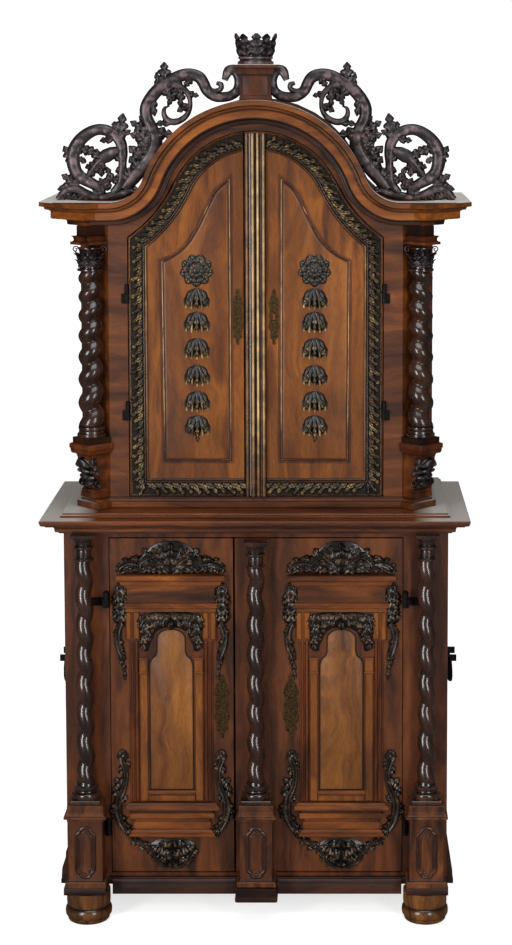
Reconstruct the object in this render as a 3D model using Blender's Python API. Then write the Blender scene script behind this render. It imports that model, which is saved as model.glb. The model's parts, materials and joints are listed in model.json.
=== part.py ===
"""Two-part walnut cabinet: a lower case with two doors, an upper case with an arched head.

Metres, +Z up. The front looks along -Y, and the origin is on the floor under the middle
of the cabinet. Everything is made for the right side (+X) and mirrored for the left.
"""
from math import atan2, ceil, cos, pi, radians, sin, sqrt

import bmesh
import bpy
from mathutils import Vector

# Clearances
GAP = 0.0003
OVERRUN = 0.010
WELD = 0.00001
DOOR_CLEARANCE = 0.003

# Overall plan
CASE_DEPTH = 0.580
FRONT_Y = -CASE_DEPTH / 2
BACK_Y = CASE_DEPTH / 2
BOARD = 0.022
BACK_BOARD = 0.012
DOOR_THICKNESS = 0.024

# Feet and plinth
FOOT_RADIUS = 0.066
FOOT_HEIGHT = 0.0892
FOOT_X = 0.478
FOOT_SIDES = 12
FOOT_INSET = 0.0685
FOOT_SHARES = ((0.58, 0.00), (0.80, 0.03), (0.87, 0.10), (0.84, 0.18), (0.78, 0.21), (0.92, 0.27),
               (1.00, 0.41), (0.98, 0.55), (0.87, 0.68), (0.80, 0.71), (0.89, 0.74), (0.89, 1.00))
PLINTH_THICKNESS = 0.0221
PLINTH_FLARE = 0.019
SIDE_MOULDING_HEIGHT = 0.100
SIDE_MOULDING_SHARES = ((0.00, 0.00), (1.00, 0.00), (1.00, 0.14), (0.62, 0.34), (0.34, 0.62),
                        (0.26, 0.90), (0.00, 1.00))
APRON_DROP = 0.014
APRON_HEIGHT = 0.043
APRON_PROJECTION = 0.020
APRON_SHARES = ((0.00, 0.00), (1.00, 0.00), (1.00, 0.40), (0.70, 0.52), (0.45, 0.80), (0.30, 1.00), (0.00, 1.00))
CENTRE_BLOCK_DROP = 0.026
CENTRE_BLOCK_HEIGHT = 0.0445

# Lower case
LOWER_HALF_WIDTH = 0.541
LOWER_CASE_HEIGHT = 1.0058
LOWER_FACE_SETBACK = 0.100
LOWER_OPENING_HALF = 0.415
LOWER_OPENING_RISE = 0.010
LOWER_TOP_RAIL = 0.0215
LOWER_SHELF_SHARE = 0.50
LOWER_SHELF_SETBACK = 0.070
SHELF_THICKNESS = 0.018

# Pedestals and twisted columns of the lower case
PEDESTAL_X = 0.4800
PEDESTAL_HALF_WIDTH = 0.0475
PEDESTAL_FRONT_INSET = 0.0135
PEDESTAL_HEIGHT = 0.2356
PEDESTAL_CAP_PROJECTION = 0.0115
PEDESTAL_CAP_HEIGHT = 0.0420
PEDESTAL_CAP_SHARES = ((0.00, 0.00), (0.35, 0.10), (0.35, 0.30), (0.90, 0.62), (1.00, 0.66), (1.00, 1.00))
PEDESTAL_BASE_PROJECTION = 0.0095
PEDESTAL_BASE_HEIGHT = 0.020
CENTRE_PEDESTAL_HALF_WIDTH = 0.0450
CENTRE_COLUMN_TOP_GAP = 0.0205
LOWER_COLUMN_SETBACK = 0.0565
LOWER_COLUMN_BLOCK_HALF = 0.0420
LOWER_COLUMN_BLOCK_HEIGHT = 0.012
LOWER_COLUMN_BASE_HEIGHT = 0.046
LOWER_COLUMN_BASE_SHARES = ((0.96, 0.04), (1.00, 0.24), (0.94, 0.42), (0.78, 0.50), (0.84, 0.74), (0.70, 1.00))
LOWER_COLUMN_CAP_HEIGHT = 0.076
LOWER_COLUMN_CAP_SHARES = ((0.66, 0.00), (0.84, 0.06), (0.84, 0.14), (0.68, 0.20), (0.70, 0.46), (0.86, 0.54),
                           (0.72, 0.62), (0.76, 0.82))
LOWER_SHAFT_RADIUS = 0.0270
LOWER_GROOVE_RADIUS = 0.0165
LOWER_TWIST_PITCH = 0.084
LOWER_ABACUS_HALF = 0.0335

# Lower cornice and the step board between the cases
LOWER_CORNICE_HEIGHT = 0.044
LOWER_CORNICE_PROJECTION = 0.057
LOWER_CORNICE_SHARES = ((0.00, 0.00), (0.12, 0.14), (0.40, 0.18), (0.58, 0.30), (0.64, 0.50), (0.78, 0.66),
                        (1.00, 0.76), (1.00, 1.00))
LOWER_TOP_BOARD = 0.014
STEP_HALF_WIDTH = 0.543
STEP_SETBACK = 0.047
STEP_HEIGHT = 0.0125

# Lower doors and their applied portals
LOWER_MEETING_HALF = 0.0600
LOWER_MEETING_GAP = 0.0050
LOWER_DOOR_HINGE_GAP = 0.0020
LOWER_DOOR_TOP_GAP = 0.0030
STRIP_PROUD = 0.004
STRIP_MARGIN = 0.002
PORTAL_X = 0.2405
PORTAL_HALF_WIDTH = 0.165
PORTAL_RISE = 0.0095
PORTAL_TOP_GAP = 0.0008
PORTAL_DEPTH = 0.020
PORTAL_OUTLINE_SHARES = (
    (0.000, 0.000), (0.240, 0.006), (0.455, 0.040), (0.715, 0.098), (0.909, 0.108), (1.000, 0.144),
    (1.000, 0.238), (0.909, 0.322), (0.848, 0.358), (0.709, 0.353), (0.709, 0.561), (0.758, 0.565),
    (0.818, 0.624), (0.909, 0.676), (1.000, 0.738), (1.000, 0.832), (0.909, 0.881), (0.964, 0.902),
    (0.909, 0.926), (0.606, 0.941), (0.491, 0.952), (0.364, 0.983), (0.182, 0.998), (0.000, 1.000))
PORTAL_BACKING_SHARE = 0.32
PORTAL_HEAD_SHARES = ((0.694, 0.787, 0.50), (0.703, 0.813, 0.56), (0.752, 0.816, 0.44), (0.752, 0.859, 0.44),
                      (0.818, 0.864, 0.70), (0.925, 0.881, 1.00), (0.925, 0.897, 1.00))
PORTAL_FOOT_SHARES = ((0.726, 0.109, 0.44), (0.726, 0.118, 0.56), (0.628, 0.133, 0.44), (0.628, 0.154, 0.56),
                      (0.721, 0.166, 0.62), (0.721, 0.180, 0.76), (0.809, 0.190, 0.94), (0.809, 0.204, 0.94),
                      (0.694, 0.213, 0.60))
PORTAL_FRAME_SHARES = (0.690, 0.210, 0.790, 0.64)
PORTAL_WINDOW_SHARES = ((0.000, 0.251), (0.379, 0.251), (0.379, 0.629), (0.230, 0.639), (0.230, 0.690),
                        (0.150, 0.722), (0.000, 0.735))

# Upper case
UPPER_FACE_SETBACK = 0.143
UPPER_HALF_WIDTH = 0.4995
UPPER_CANT_X = 0.412
UPPER_BOARD = 0.020
UPPER_BACK_BOARD = 0.010
BASE_MOULDING_HEIGHT = 0.029
BASE_MOULDING_PROJECTION = 0.020
BASE_MOULDING_SHARES = ((1.00, 0.00), (1.00, 0.34), (0.55, 0.52), (0.30, 0.84), (0.10, 1.00))
UPPER_CASE_HEIGHT = 0.7686
UPPER_SHELF_SHARES = (0.50,)
UPPER_SHELF_SETBACK = 0.097

# Arched cornice
CORNICE_HEIGHT = 0.066
CORNICE_PROJECTION = 0.0996
CORNICE_HALF_WIDTH = 0.503
CORNICE_CORNER_X = 0.470
CORNICE_BREAK = 0.0016
FRIEZE_BLOCK_SHARE = 0.31
CORNICE_SHARES = ((0.00, 0.00), (0.26, 0.00), (0.30, 0.18), (0.34, 0.27), (0.69, 0.28), (0.69, 0.62),
                  (0.74, 0.66), (0.84, 0.71), (0.97, 0.78), (1.00, 0.80), (1.00, 1.00), (0.00, 1.00))
ARCH_RADIUS = 0.325
ARCH_COVE_RADIUS = 0.104
ARCH_TURN = radians(70)
ARCH_STEPS = 7
COVE_STEPS = 4

# Upper doors
UPPER_DOOR_HALF = 0.356
UPPER_DOOR_RISE = 0.0025
DOOR_ARCH_RADIUS = 0.250
DOOR_COVE_RADIUS = 0.377
DOOR_ARCH_DROP = 0.012
DOOR_ARCH_TURN = radians(65)
ASTRAGAL_HALF = 0.030
ASTRAGAL_DEPTH = 0.018
ASTRAGAL_REEDS = 4
ASTRAGAL_TOP_GAP = 0.003
UPPER_MEETING_GAP = 0.0035
FRAME_BAND_WIDTH = 0.043
FRAME_BAND_SIDE_GAP = 0.003
FRAME_BAND_DEPTH = 0.009
FRAME_BAND_FOOT = 0.036
PANEL_INNER_X = 0.068
PANEL_OUTER_X = 0.263
PANEL_RISE = 0.100
PANEL_TOP_DROP = 0.095
PANEL_PROUD = 0.004
PANEL_BEVEL = 0.004

# Carved drops of the upper doors
DROP_X = 0.165
DROP_Z_SHARE = 0.835
DROP_DEPTH = 0.012
ROSETTE_RADIUS = 0.048
ROSETTE_PETALS = 8
HUSK_COUNT = 6
HUSK_PITCH = 0.0720
HUSK_HALF_WIDTH = 0.040
HUSK_TAIL = 0.050
HUSK_SHARES = ((0.40, 0.00), (0.80, 0.10), (1.00, 0.30), (0.88, 0.52), (0.50, 0.66), (0.34, 0.86))

# Corner columns of the upper case, standing on a square turned by 45 degrees
UPPER_COLUMN_X = 0.463
UPPER_COLUMN_FORWARD = 0.003
BRACKET_HEIGHT = 0.172
BRACKET_CAP_REACH = 0.045
BRACKET_SHARES = ((0.93, 0.00), (0.93, 0.16), (0.84, 0.20), (0.74, 0.25), (0.68, 0.40), (0.68, 0.72),
                  (0.78, 0.78), (0.92, 0.86), (1.00, 0.89), (1.00, 1.00))
SCROLL_RADIUS = 0.034
SCROLL_THICKNESS = 0.034
UPPER_COLUMN_BASE_HEIGHT = 0.034
UPPER_COLUMN_BASE_SHARES = ((1.10, 0.00), (1.14, 0.24), (1.08, 0.42), (0.92, 0.52), (0.98, 0.76), (0.88, 1.00))
UPPER_SHAFT_FOOT_RADIUS = 0.0365
UPPER_SHAFT_TOP_RADIUS = 0.0320
UPPER_GROOVE_SHARE = 0.60
UPPER_TWIST_FOOT_PITCH = 0.074
UPPER_TWIST_TOP_PITCH = 0.050
CAPITAL_HEIGHT = 0.074
CAPITAL_RADIUS = 0.036
CAPITAL_SHARES = ((0.86, 0.00), (0.98, 0.08), (0.80, 0.14), (0.84, 0.50), (1.00, 0.80), (1.04, 0.88))
ENTABLATURE_HEIGHT = 0.0527
ENTABLATURE_FRONT = 0.030
ENTABLATURE_HALF = 0.020
ENTABLATURE_CAP_PROJECTION = 0.013
ENTABLATURE_SHARES = ((1.00, 0.00), (1.00, 0.16), (0.45, 0.20), (0.55, 0.36), (1.00, 0.44), (0.00, 0.46), (0.00, 1.00))

# Twist of the shafts
SHAFT_SIDES = 12
RINGS_PER_TURN = 4
TWIST_ROUNDNESS = 0.8

# Crest, crest block and leaf crown
CREST_Y_SETBACK = 0.205
CREST_THICKNESS = 0.026
CREST_REACH = 0.511
CREST_HEIGHT = 0.386
CREST_BAND = 0.030
CREST_MAIN_TAPER = (0.7, 1.0, 1.0)
CREST_BRANCH_TAPER = (1.0, 0.8, 0.5)
CREST_LOOP_TAPER = (1.0, 1.1, 0.7)
CREST_FOOT_TAPER = (0.9, 1.1, 0.9)
CREST_LEAF_TAPER = (1.0, 0.9, 0.3)
CREST_MAIN_SHARES = ((0.115, 0.850), (0.118, 0.905), (0.090, 0.945), (0.050, 0.920), (0.029, 0.841),
                     (0.060, 0.773), (0.115, 0.742), (0.183, 0.742), (0.225, 0.796), (0.251, 0.871),
                     (0.290, 0.930), (0.340, 0.950), (0.399, 0.939), (0.456, 0.886), (0.512, 0.826),
                     (0.558, 0.751), (0.580, 0.675), (0.570, 0.600), (0.540, 0.530), (0.520, 0.450),
                     (0.520, 0.370), (0.540, 0.290), (0.575, 0.200), (0.630, 0.120))
CREST_BRANCH_SHARES = ((0.490, 0.850), (0.430, 0.850), (0.365, 0.796), (0.331, 0.713), (0.348, 0.637),
                       (0.399, 0.592), (0.444, 0.630), (0.440, 0.690))
CREST_LOOP_SHARES = ((0.600, 0.060), (0.660, 0.120), (0.683, 0.190), (0.654, 0.290), (0.655, 0.370),
                     (0.685, 0.450), (0.739, 0.500), (0.819, 0.509), (0.893, 0.464), (0.944, 0.388),
                     (0.955, 0.300), (0.932, 0.215), (0.876, 0.154), (0.800, 0.150), (0.750, 0.210),
                     (0.745, 0.290), (0.790, 0.340))
CREST_FOOT_SHARES = ((0.560, 0.036), (0.640, 0.040), (0.740, 0.070), (0.840, 0.120), (0.920, 0.110),
                     (0.970, 0.050))
CREST_LEAVES_SHARES = (((0.505, 0.840), (0.495, 0.965)), ((0.560, 0.560), (0.660, 0.600)),
                       ((0.560, 0.560), (0.450, 0.520)), ((0.700, 0.490), (0.668, 0.620)),
                       ((0.940, 0.430), (0.985, 0.500)), ((0.950, 0.290), (0.985, 0.360)),
                       ((0.920, 0.110), (0.985, 0.130)))
BLOCK_HALF_WIDTH = 0.0435
BLOCK_HEIGHT = 0.098
BLOCK_CAP_PROJECTION = 0.0165
BLOCK_CAP_SHARES = ((0.25, 0.80), (0.40, 0.86), (1.00, 0.90), (1.00, 1.00))
CROWN_HEIGHT = 0.088
CROWN_FOOT_RADIUS = 0.047
CROWN_TOP_RADIUS = 0.066
CROWN_WALL = 0.007
CROWN_POINTS = 8
CROWN_BAND_SHARES = ((0.94, 0.00), (1.00, 0.06), (0.94, 0.14), (0.94, 0.22))
CROWN_VALLEY_SHARE = 0.52

# Upper hinges: barrel just in front of the face
UPPER_HINGE_X = 0.3605
UPPER_HINGE_RADIUS = 0.0062
UPPER_HINGE_LENGTH = 0.056
UPPER_HINGE_LEAF = 0.016
UPPER_HINGE_RISE_SHARES = (0.32, 0.75)
UPPER_PIN_RADIUS = 0.0025

# Lower hinges: barrel well in front, to clear the pedestals
LOWER_HINGE_X = 0.4200
LOWER_HINGE_FORWARD = 0.028
LOWER_HINGE_RADIUS = 0.0085
LOWER_HINGE_LENGTH = 0.046
LOWER_HINGE_LEAF_ENDS = (0.432, 0.468)
LOWER_HINGE_ARM_END = 0.4075
LOWER_HINGE_RISE_SHARES = (0.145, 0.825)
LOWER_PIN_RADIUS = 0.0035
PIN_SHARE = 0.62
BORE_CLEARANCE = 0.0004
LEAF_THICKNESS = 0.0025
KNUCKLE_GAP = 0.0006
HINGE_SIDES = 8

# Locks, bolts and escutcheons
LOCK_HEIGHT = 0.078
LOCK_LENGTH = 0.120
LOCK_DEPTH = 0.018
LOCK_WALL = 0.004
LOCK_EDGE_GAP = 0.006
BOLT_HEIGHT = 0.020
BOLT_LENGTH = 0.070
BOLT_CLEARANCE = 0.0005
LOWER_KEYHOLE_SHARE = 0.49436
UPPER_KEYHOLE_RISE = 0.5109
LOWER_ESCUTCHEON = (0.0980, 0.0225)
LOWER_ESCUTCHEON_SHARE = 0.19415
UPPER_ESCUTCHEON = (0.0510, 0.0155, 0.160)
ESCUTCHEON_THICKNESS = 0.002
ESCUTCHEON_SHARES = ((0.00, 0.00), (0.30, 0.03), (0.24, 0.09), (0.80, 0.14), (0.62, 0.22), (1.00, 0.32), (0.80, 0.42),
                     (0.90, 0.52), (0.74, 0.62), (1.00, 0.72), (0.66, 0.84), (0.30, 0.90), (0.34, 0.96), (0.00, 1.00))
KEYHOLE_HALF_WIDTH = 0.0035
KEYHOLE_LENGTH = 0.016

# Side handles
HANDLE_RISE = 0.596
HANDLE_Y = 0.000
HANDLE_HALF_SPAN = 0.042
HANDLE_PLATE_HALF_HEIGHT = 0.016
HANDLE_PLATE_MARGIN = 0.014
HANDLE_PLATE_THICKNESS = 0.003
EAR_REACH = 0.030
EAR_AXIS_SHARE = 0.40
EAR_THICKNESS = 0.008
EAR_HALF_HEIGHT = 0.009
EAR_PIN_REACH = 0.017
BAIL_RADIUS = 0.0042
BAIL_GRIP_RADIUS = 0.0065
BAIL_CLEARANCE = 0.0005
BAIL_DROP = 0.070
BAIL_OVERHANG = 0.002
BAIL_SIDES = 8

# Heights that follow from the pieces stacked on each other
PLINTH_BOTTOM = FOOT_HEIGHT + GAP
PLINTH_TOP = PLINTH_BOTTOM + PLINTH_THICKNESS
LOWER_CASE_BOTTOM = PLINTH_TOP + GAP
LOWER_CASE_TOP = LOWER_CASE_BOTTOM + LOWER_CASE_HEIGHT
LOWER_CORNICE_BOTTOM = LOWER_CASE_TOP + GAP
LOWER_CORNICE_TOP = LOWER_CORNICE_BOTTOM + LOWER_CORNICE_HEIGHT
STEP_TOP = LOWER_CORNICE_TOP + STEP_HEIGHT
BASE_MOULDING_BOTTOM = STEP_TOP + GAP
BASE_MOULDING_TOP = BASE_MOULDING_BOTTOM + BASE_MOULDING_HEIGHT
UPPER_CASE_BOTTOM = BASE_MOULDING_TOP + GAP
CORNICE_BOTTOM = UPPER_CASE_BOTTOM + UPPER_CASE_HEIGHT
CORNICE_TOP = CORNICE_BOTTOM + CORNICE_HEIGHT
ARCH_CENTRE_Z = CORNICE_TOP + ARCH_COVE_RADIUS - (ARCH_RADIUS + ARCH_COVE_RADIUS) * cos(ARCH_TURN)
DOOR_ARCH_CENTRE_Z = ARCH_CENTRE_Z - DOOR_ARCH_DROP
PEDESTAL_BOTTOM = PLINTH_TOP + GAP
PEDESTAL_TOP = PEDESTAL_BOTTOM + PEDESTAL_HEIGHT
BRACKET_BOTTOM = BASE_MOULDING_TOP + GAP
BRACKET_TOP = BRACKET_BOTTOM + BRACKET_HEIGHT
UPPER_COLUMN_BOTTOM = BRACKET_TOP + GAP
UPPER_COLUMN_TOP = CORNICE_BOTTOM - 2 * GAP
UPPER_COLUMN_ENDS = UPPER_COLUMN_BASE_HEIGHT + CAPITAL_HEIGHT + ENTABLATURE_HEIGHT
UPPER_SHAFT_HEIGHT = UPPER_COLUMN_TOP - UPPER_COLUMN_BOTTOM - UPPER_COLUMN_ENDS

# Planes that follow from the plan
LOWER_FACE_Y = FRONT_Y + LOWER_FACE_SETBACK
UPPER_FACE_Y = FRONT_Y + UPPER_FACE_SETBACK
LOWER_BED_Y = FRONT_Y + LOWER_CORNICE_PROJECTION
LOWER_COLUMN_Y = FRONT_Y + LOWER_COLUMN_SETBACK
UPPER_COLUMN_Y = UPPER_FACE_Y - UPPER_COLUMN_FORWARD
CREST_Y = FRONT_Y + CREST_Y_SETBACK
PEDESTAL_FRONT_Y = FRONT_Y + PEDESTAL_FRONT_INSET
LOWER_DOOR_BOTTOM = LOWER_CASE_BOTTOM + LOWER_OPENING_RISE + DOOR_CLEARANCE
LOWER_DOOR_TOP = LOWER_CASE_TOP - LOWER_TOP_RAIL - LOWER_DOOR_TOP_GAP
PORTAL_HEIGHT = LOWER_DOOR_TOP - LOWER_DOOR_BOTTOM - PORTAL_RISE - PORTAL_TOP_GAP
LOWER_KEYHOLE_Z = LOWER_DOOR_BOTTOM + PORTAL_RISE + LOWER_KEYHOLE_SHARE * PORTAL_HEIGHT
UPPER_DOOR_BOTTOM = UPPER_CASE_BOTTOM + UPPER_DOOR_RISE
CANT_DISTANCE = ((UPPER_COLUMN_X - UPPER_COLUMN_Y) - (UPPER_CANT_X - UPPER_FACE_Y)) / sqrt(2)
COLUMN_BACK = GAP - CANT_DISTANCE
HEAD_CANT = (CORNICE_CORNER_X + CORNICE_BREAK - UPPER_FACE_Y - UPPER_COLUMN_X + UPPER_COLUMN_Y) / sqrt(2)

COLOURS = {
    "walnut": ((0.28, 0.13, 0.05), 0.38, 0.0),
    "walnut_dark": ((0.13, 0.055, 0.028), 0.36, 0.0),
    "walnut_light": ((0.40, 0.19, 0.065), 0.36, 0.0),
    "carving": ((0.07, 0.05, 0.028), 0.42, 0.0),
    "ebonised": ((0.045, 0.022, 0.016), 0.25, 0.0),
    "inside_wood": ((0.42, 0.30, 0.18), 0.70, 0.0),
    "iron": ((0.02, 0.02, 0.02), 0.50, 0.9),
    "brass": ((0.16, 0.11, 0.035), 0.45, 1.0),
}


def clear_scene():
    """Take every object out of the open scene."""
    for obj in list(bpy.data.objects):
        bpy.data.objects.remove(obj, do_unlink=True)


def make_finish(name):
    """Make one Principled material from the colour table."""
    colour, roughness, metallic = COLOURS[name]
    material = bpy.data.materials.new(name)
    material.use_nodes = True
    shader = material.node_tree.nodes["Principled BSDF"]
    shader.inputs["Base Color"].default_value = (*colour, 1.0)
    shader.inputs["Roughness"].default_value = roughness
    shader.inputs["Metallic"].default_value = metallic
    return material


def loft(rings):
    """Skin closed rings of equally many points, with a face over each end."""
    bm = bmesh.new()
    loops = [[bm.verts.new(point) for point in ring] for ring in rings]
    count = len(loops[0])
    for low, high in zip(loops, loops[1:]):
        for i in range(count):
            bm.faces.new((low[i - 1], low[i], high[i], high[i - 1]))
    bm.faces.new(loops[0])
    bm.faces.new(loops[-1])
    bmesh.ops.recalc_face_normals(bm, faces=bm.faces)
    return bm


def upright_prism(outline, back_y, front_y):
    """Extrude an outline of (x, z) points from one Y to another."""
    return loft([[(x, y, z) for x, z in outline] for y in (back_y, front_y)])


def flat_prism(outline, low_z, high_z):
    """Extrude an outline of (x, y) points from one Z to another."""
    return loft([[(x, y, z) for x, y in outline] for z in (low_z, high_z)])


def box(x_range, y_range, z_range):
    """A plain block between three pairs of planes."""
    (x0, x1), (y0, y1) = x_range, y_range
    return flat_prism([(x0, y0), (x1, y0), (x1, y1), (x0, y1)], *z_range)


def cylinder(x, y, radius, low_z, high_z, sides):
    """An upright cylinder."""
    ring = [(x + radius * cos(2 * pi * k / sides), y + radius * sin(2 * pi * k / sides)) for k in range(sides)]
    return flat_prism(ring, low_z, high_z)


def boolean(base, tool, operation):
    """Join two closed meshes, or cut one with the other, and return the result."""
    pair = []
    for bm in (base, tool):
        mesh = bpy.data.meshes.new("work")
        bm.to_mesh(mesh)
        bm.free()
        pair.append(bpy.data.objects.new("work", mesh))
        bpy.context.scene.collection.objects.link(pair[-1])
    modifier = pair[0].modifiers.new("Boolean", "BOOLEAN")
    modifier.operation = operation
    modifier.solver = "EXACT"
    modifier.object = pair[1]
    result = bmesh.new()
    result.from_object(pair[0], bpy.context.evaluated_depsgraph_get())
    bmesh.ops.remove_doubles(result, verts=result.verts, dist=WELD)
    for obj in pair:
        bpy.data.meshes.remove(obj.data, do_unlink=True)
    return result


def join(*pieces):
    """Fuse pieces that overlap into one body."""
    result = pieces[0]
    for piece in pieces[1:]:
        result = boolean(result, piece, "UNION")
    return result


def cut(base, *tools):
    """Cut each tool out of the base."""
    for tool in tools:
        base = boolean(base, tool, "DIFFERENCE")
    return base


def add_piece(name, bm, finish, side=1, pivot=None):
    """Put a mesh into the scene as a named object, mirrored to the left where side is -1."""
    if side < 0:
        for vert in bm.verts:
            vert.co.x = -vert.co.x
        bmesh.ops.reverse_faces(bm, faces=bm.faces)
    mesh = bpy.data.meshes.new(name)
    if pivot is not None:
        for vert in bm.verts:
            vert.co -= pivot.location
    bm.to_mesh(mesh)
    bm.free()
    mesh.materials.append(FINISHES[finish])
    mesh.shade_smooth()
    mesh.set_sharp_from_angle(angle=radians(35))
    obj = bpy.data.objects.new(name, mesh)
    obj.parent = pivot
    bpy.context.scene.collection.objects.link(obj)
    return obj


def add_pivot(name, x, y, z):
    """An empty on a joint's axis, which carries the pieces that move there."""
    pivot = bpy.data.objects.new(name, None)
    pivot.location = (x, y, z)
    bpy.context.scene.collection.objects.link(pivot)
    return pivot


def side_name(side):
    return "right" if side > 0 else "left"


def offset_plan(plan, distances):
    """Move each edge of a plan outward by its own distance, with mitred corners.

    Edge i runs from point i to the next; the plan runs anticlockwise seen from above.
    """
    count = len(plan)
    result = []
    for i in range(count):
        before, here, after = (Vector(plan[j % count]) for j in (i - 1, i, i + 1))
        first, second = (here - before).normalized(), (after - here).normalized()
        normal_a, normal_b = Vector((first.y, -first.x)), Vector((second.y, -second.x))
        spread = normal_a.x * normal_b.y - normal_a.y * normal_b.x
        a, b = distances[i - 1], distances[i]
        shift = Vector((a * normal_b.y - b * normal_a.y, b * normal_a.x - a * normal_b.x)) / spread
        result.append(here + shift)
    return result


def moulded_block(plan, levels, flush=()):
    """Stack a plan at (offset, z) levels; the edges named in flush stay where they are."""
    rings = []
    for offset, z in levels:
        distances = [0 if i in flush else offset for i in range(len(plan))]
        rings.append([(point.x, point.y, z) for point in offset_plan(plan, distances)])
    return loft(rings)


def levels_from(shares, projection, bottom, height):
    """Turn a table of shares into (offset, z) levels."""
    return [(p * projection, bottom + h * height) for p, h in shares]


def rectangle(x0, x1, y0, y1):
    """A plan rectangle; its edges in order are front, right, back, left."""
    return [(x0, y0), (x1, y0), (x1, y1), (x0, y1)]


def arch_half(centre_z, radius, cove_radius, turn, end_x=None):
    """Right half of an arch that turns out into a cove: (point, outward normal) pairs from the top."""
    stations = []
    for i in range(ARCH_STEPS + 1):
        angle = turn * i / ARCH_STEPS
        normal = Vector((sin(angle), cos(angle)))
        stations.append((Vector((0, centre_z)) + radius * normal, normal))
    centre = Vector((0, centre_z)) + (radius + cove_radius) * Vector((sin(turn), cos(turn)))
    last = 0 if end_x is None else atan2(centre.x - end_x, sqrt(cove_radius ** 2 - (centre.x - end_x) ** 2))
    for i in range(1, COVE_STEPS + 1):
        angle = turn + (last - turn) * i / COVE_STEPS
        normal = Vector((sin(angle), cos(angle)))
        stations.append((centre - cove_radius * normal, normal))
    return stations


def case_arch(drop):
    """The line of the cornice's top edge, lowered by drop, from the middle outwards."""
    stations = arch_half(ARCH_CENTRE_Z, ARCH_RADIUS - drop, ARCH_COVE_RADIUS + drop, ARCH_TURN)
    return [(point.x, point.y) for point, _ in stations]


def door_arch(inset, outer_x):
    """The line of the doors' heads, drawn in by inset, out to a given X."""
    stations = arch_half(DOOR_ARCH_CENTRE_Z, DOOR_ARCH_RADIUS - inset, DOOR_COVE_RADIUS + inset,
                         DOOR_ARCH_TURN, outer_x)
    return [(point.x, point.y) for point, _ in stations]


def trim_start(line, x):
    """Start a line of (x, z) points, which runs outwards, at a given X."""
    for i, (low, high) in enumerate(zip(line, line[1:])):
        if high[0] > x:
            share = (x - low[0]) / (high[0] - low[0])
            return [(x, low[1] + share * (high[1] - low[1]))] + line[i + 1:]
    return line


def both_halves(half):
    """Mirror the right half of an outline, given from the middle top or bottom outwards."""
    left = [(-x, z) for x, z in reversed(half) if x > 0]
    return half + left


def round_ring(x, y, radius, z, turn=0.0):
    """A ring of the shafts' number of points."""
    angles = [turn + pi / 4 + 2 * pi * k / SHAFT_SIDES for k in range(SHAFT_SIDES)]
    return [(x + radius * cos(a), y + radius * sin(a), z) for a in angles]


def square_shares():
    """The shafts' points pushed out to a square of half-width one."""
    points = []
    for k in range(SHAFT_SIDES):
        angle = pi / 4 + 2 * pi * k / SHAFT_SIDES
        longest = max(abs(cos(angle)), abs(sin(angle)))
        points.append((cos(angle) / longest, sin(angle) / longest))
    return points


def twisted_radius(angle, ridge, groove):
    """Radius of a one-strand twist: a full rounded ridge and one narrow groove a turn."""
    return groove + (ridge - groove) * abs(cos(angle / 2)) ** TWIST_ROUNDNESS


def make_feet():
    """Four turned bun feet."""
    for depth_name, y in (("front", FRONT_Y + FOOT_INSET), ("rear", BACK_Y - FOOT_INSET)):
        for side in (1, -1):
            rings = []
            for radius_share, height_share in FOOT_SHARES:
                radius = radius_share * FOOT_RADIUS
                rings.append([(FOOT_X + radius * cos(2 * pi * k / FOOT_SIDES), y + radius * sin(2 * pi * k / FOOT_SIDES),
                               height_share * FOOT_HEIGHT) for k in range(FOOT_SIDES)])
            add_piece(f"foot_{depth_name}_{side_name(side)}", loft(rings), "walnut", side)


def make_plinth():
    """The base board with its mouldings, broken forward under the pedestals."""
    half = LOWER_HALF_WIDTH
    inner = PEDESTAL_X - PEDESTAL_HALF_WIDTH
    front = PEDESTAL_FRONT_Y
    plan = [(-half, front), (-inner, front), (-inner, LOWER_FACE_Y), (inner, LOWER_FACE_Y), (inner, front),
            (half, front), (half, BACK_Y), (-half, BACK_Y)]
    offset = PEDESTAL_BASE_PROJECTION
    pieces = [moulded_block(plan, [(offset, PLINTH_BOTTOM), (offset, PLINTH_TOP)], flush=(5, 6, 7))]
    for side in (1, -1):
        profile = [(side * (half + GAP + p * PLINTH_FLARE), PLINTH_BOTTOM + h * SIDE_MOULDING_HEIGHT)
                   for p, h in SIDE_MOULDING_SHARES]
        inner_line = [(side * (half - GAP), z) for z in (PLINTH_TOP - GAP, PLINTH_BOTTOM)]
        start = (side * (half + GAP), PLINTH_TOP - GAP)
        outline = profile[1:] + [start] + inner_line
        pieces.append(upright_prism(outline, BACK_Y, LOWER_FACE_Y))
    apron_low = PLINTH_BOTTOM - APRON_DROP
    for side in (1, -1):
        profile = [(LOWER_FACE_Y - GAP - p * APRON_PROJECTION, apron_low + h * APRON_HEIGHT) for p, h in APRON_SHARES]
        profile = [(LOWER_FACE_Y + BOARD, apron_low)] + profile[1:] \
            + [(LOWER_FACE_Y - GAP, PLINTH_TOP - GAP), (LOWER_FACE_Y + BOARD, PLINTH_TOP - GAP)]
        ends = (side * (LOWER_MEETING_HALF + APRON_PROJECTION / 3), side * (FOOT_X - FOOT_RADIUS - GAP))
        pieces.append(loft([[(x, y, z) for y, z in profile] for x in ends]))
    block_low = PLINTH_BOTTOM - CENTRE_BLOCK_DROP
    pieces.append(box((-LOWER_MEETING_HALF, LOWER_MEETING_HALF), (front, LOWER_FACE_Y + BOARD),
                      (block_low, block_low + CENTRE_BLOCK_HEIGHT)))
    add_piece("plinth", join(*pieces), "walnut_dark")


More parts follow.
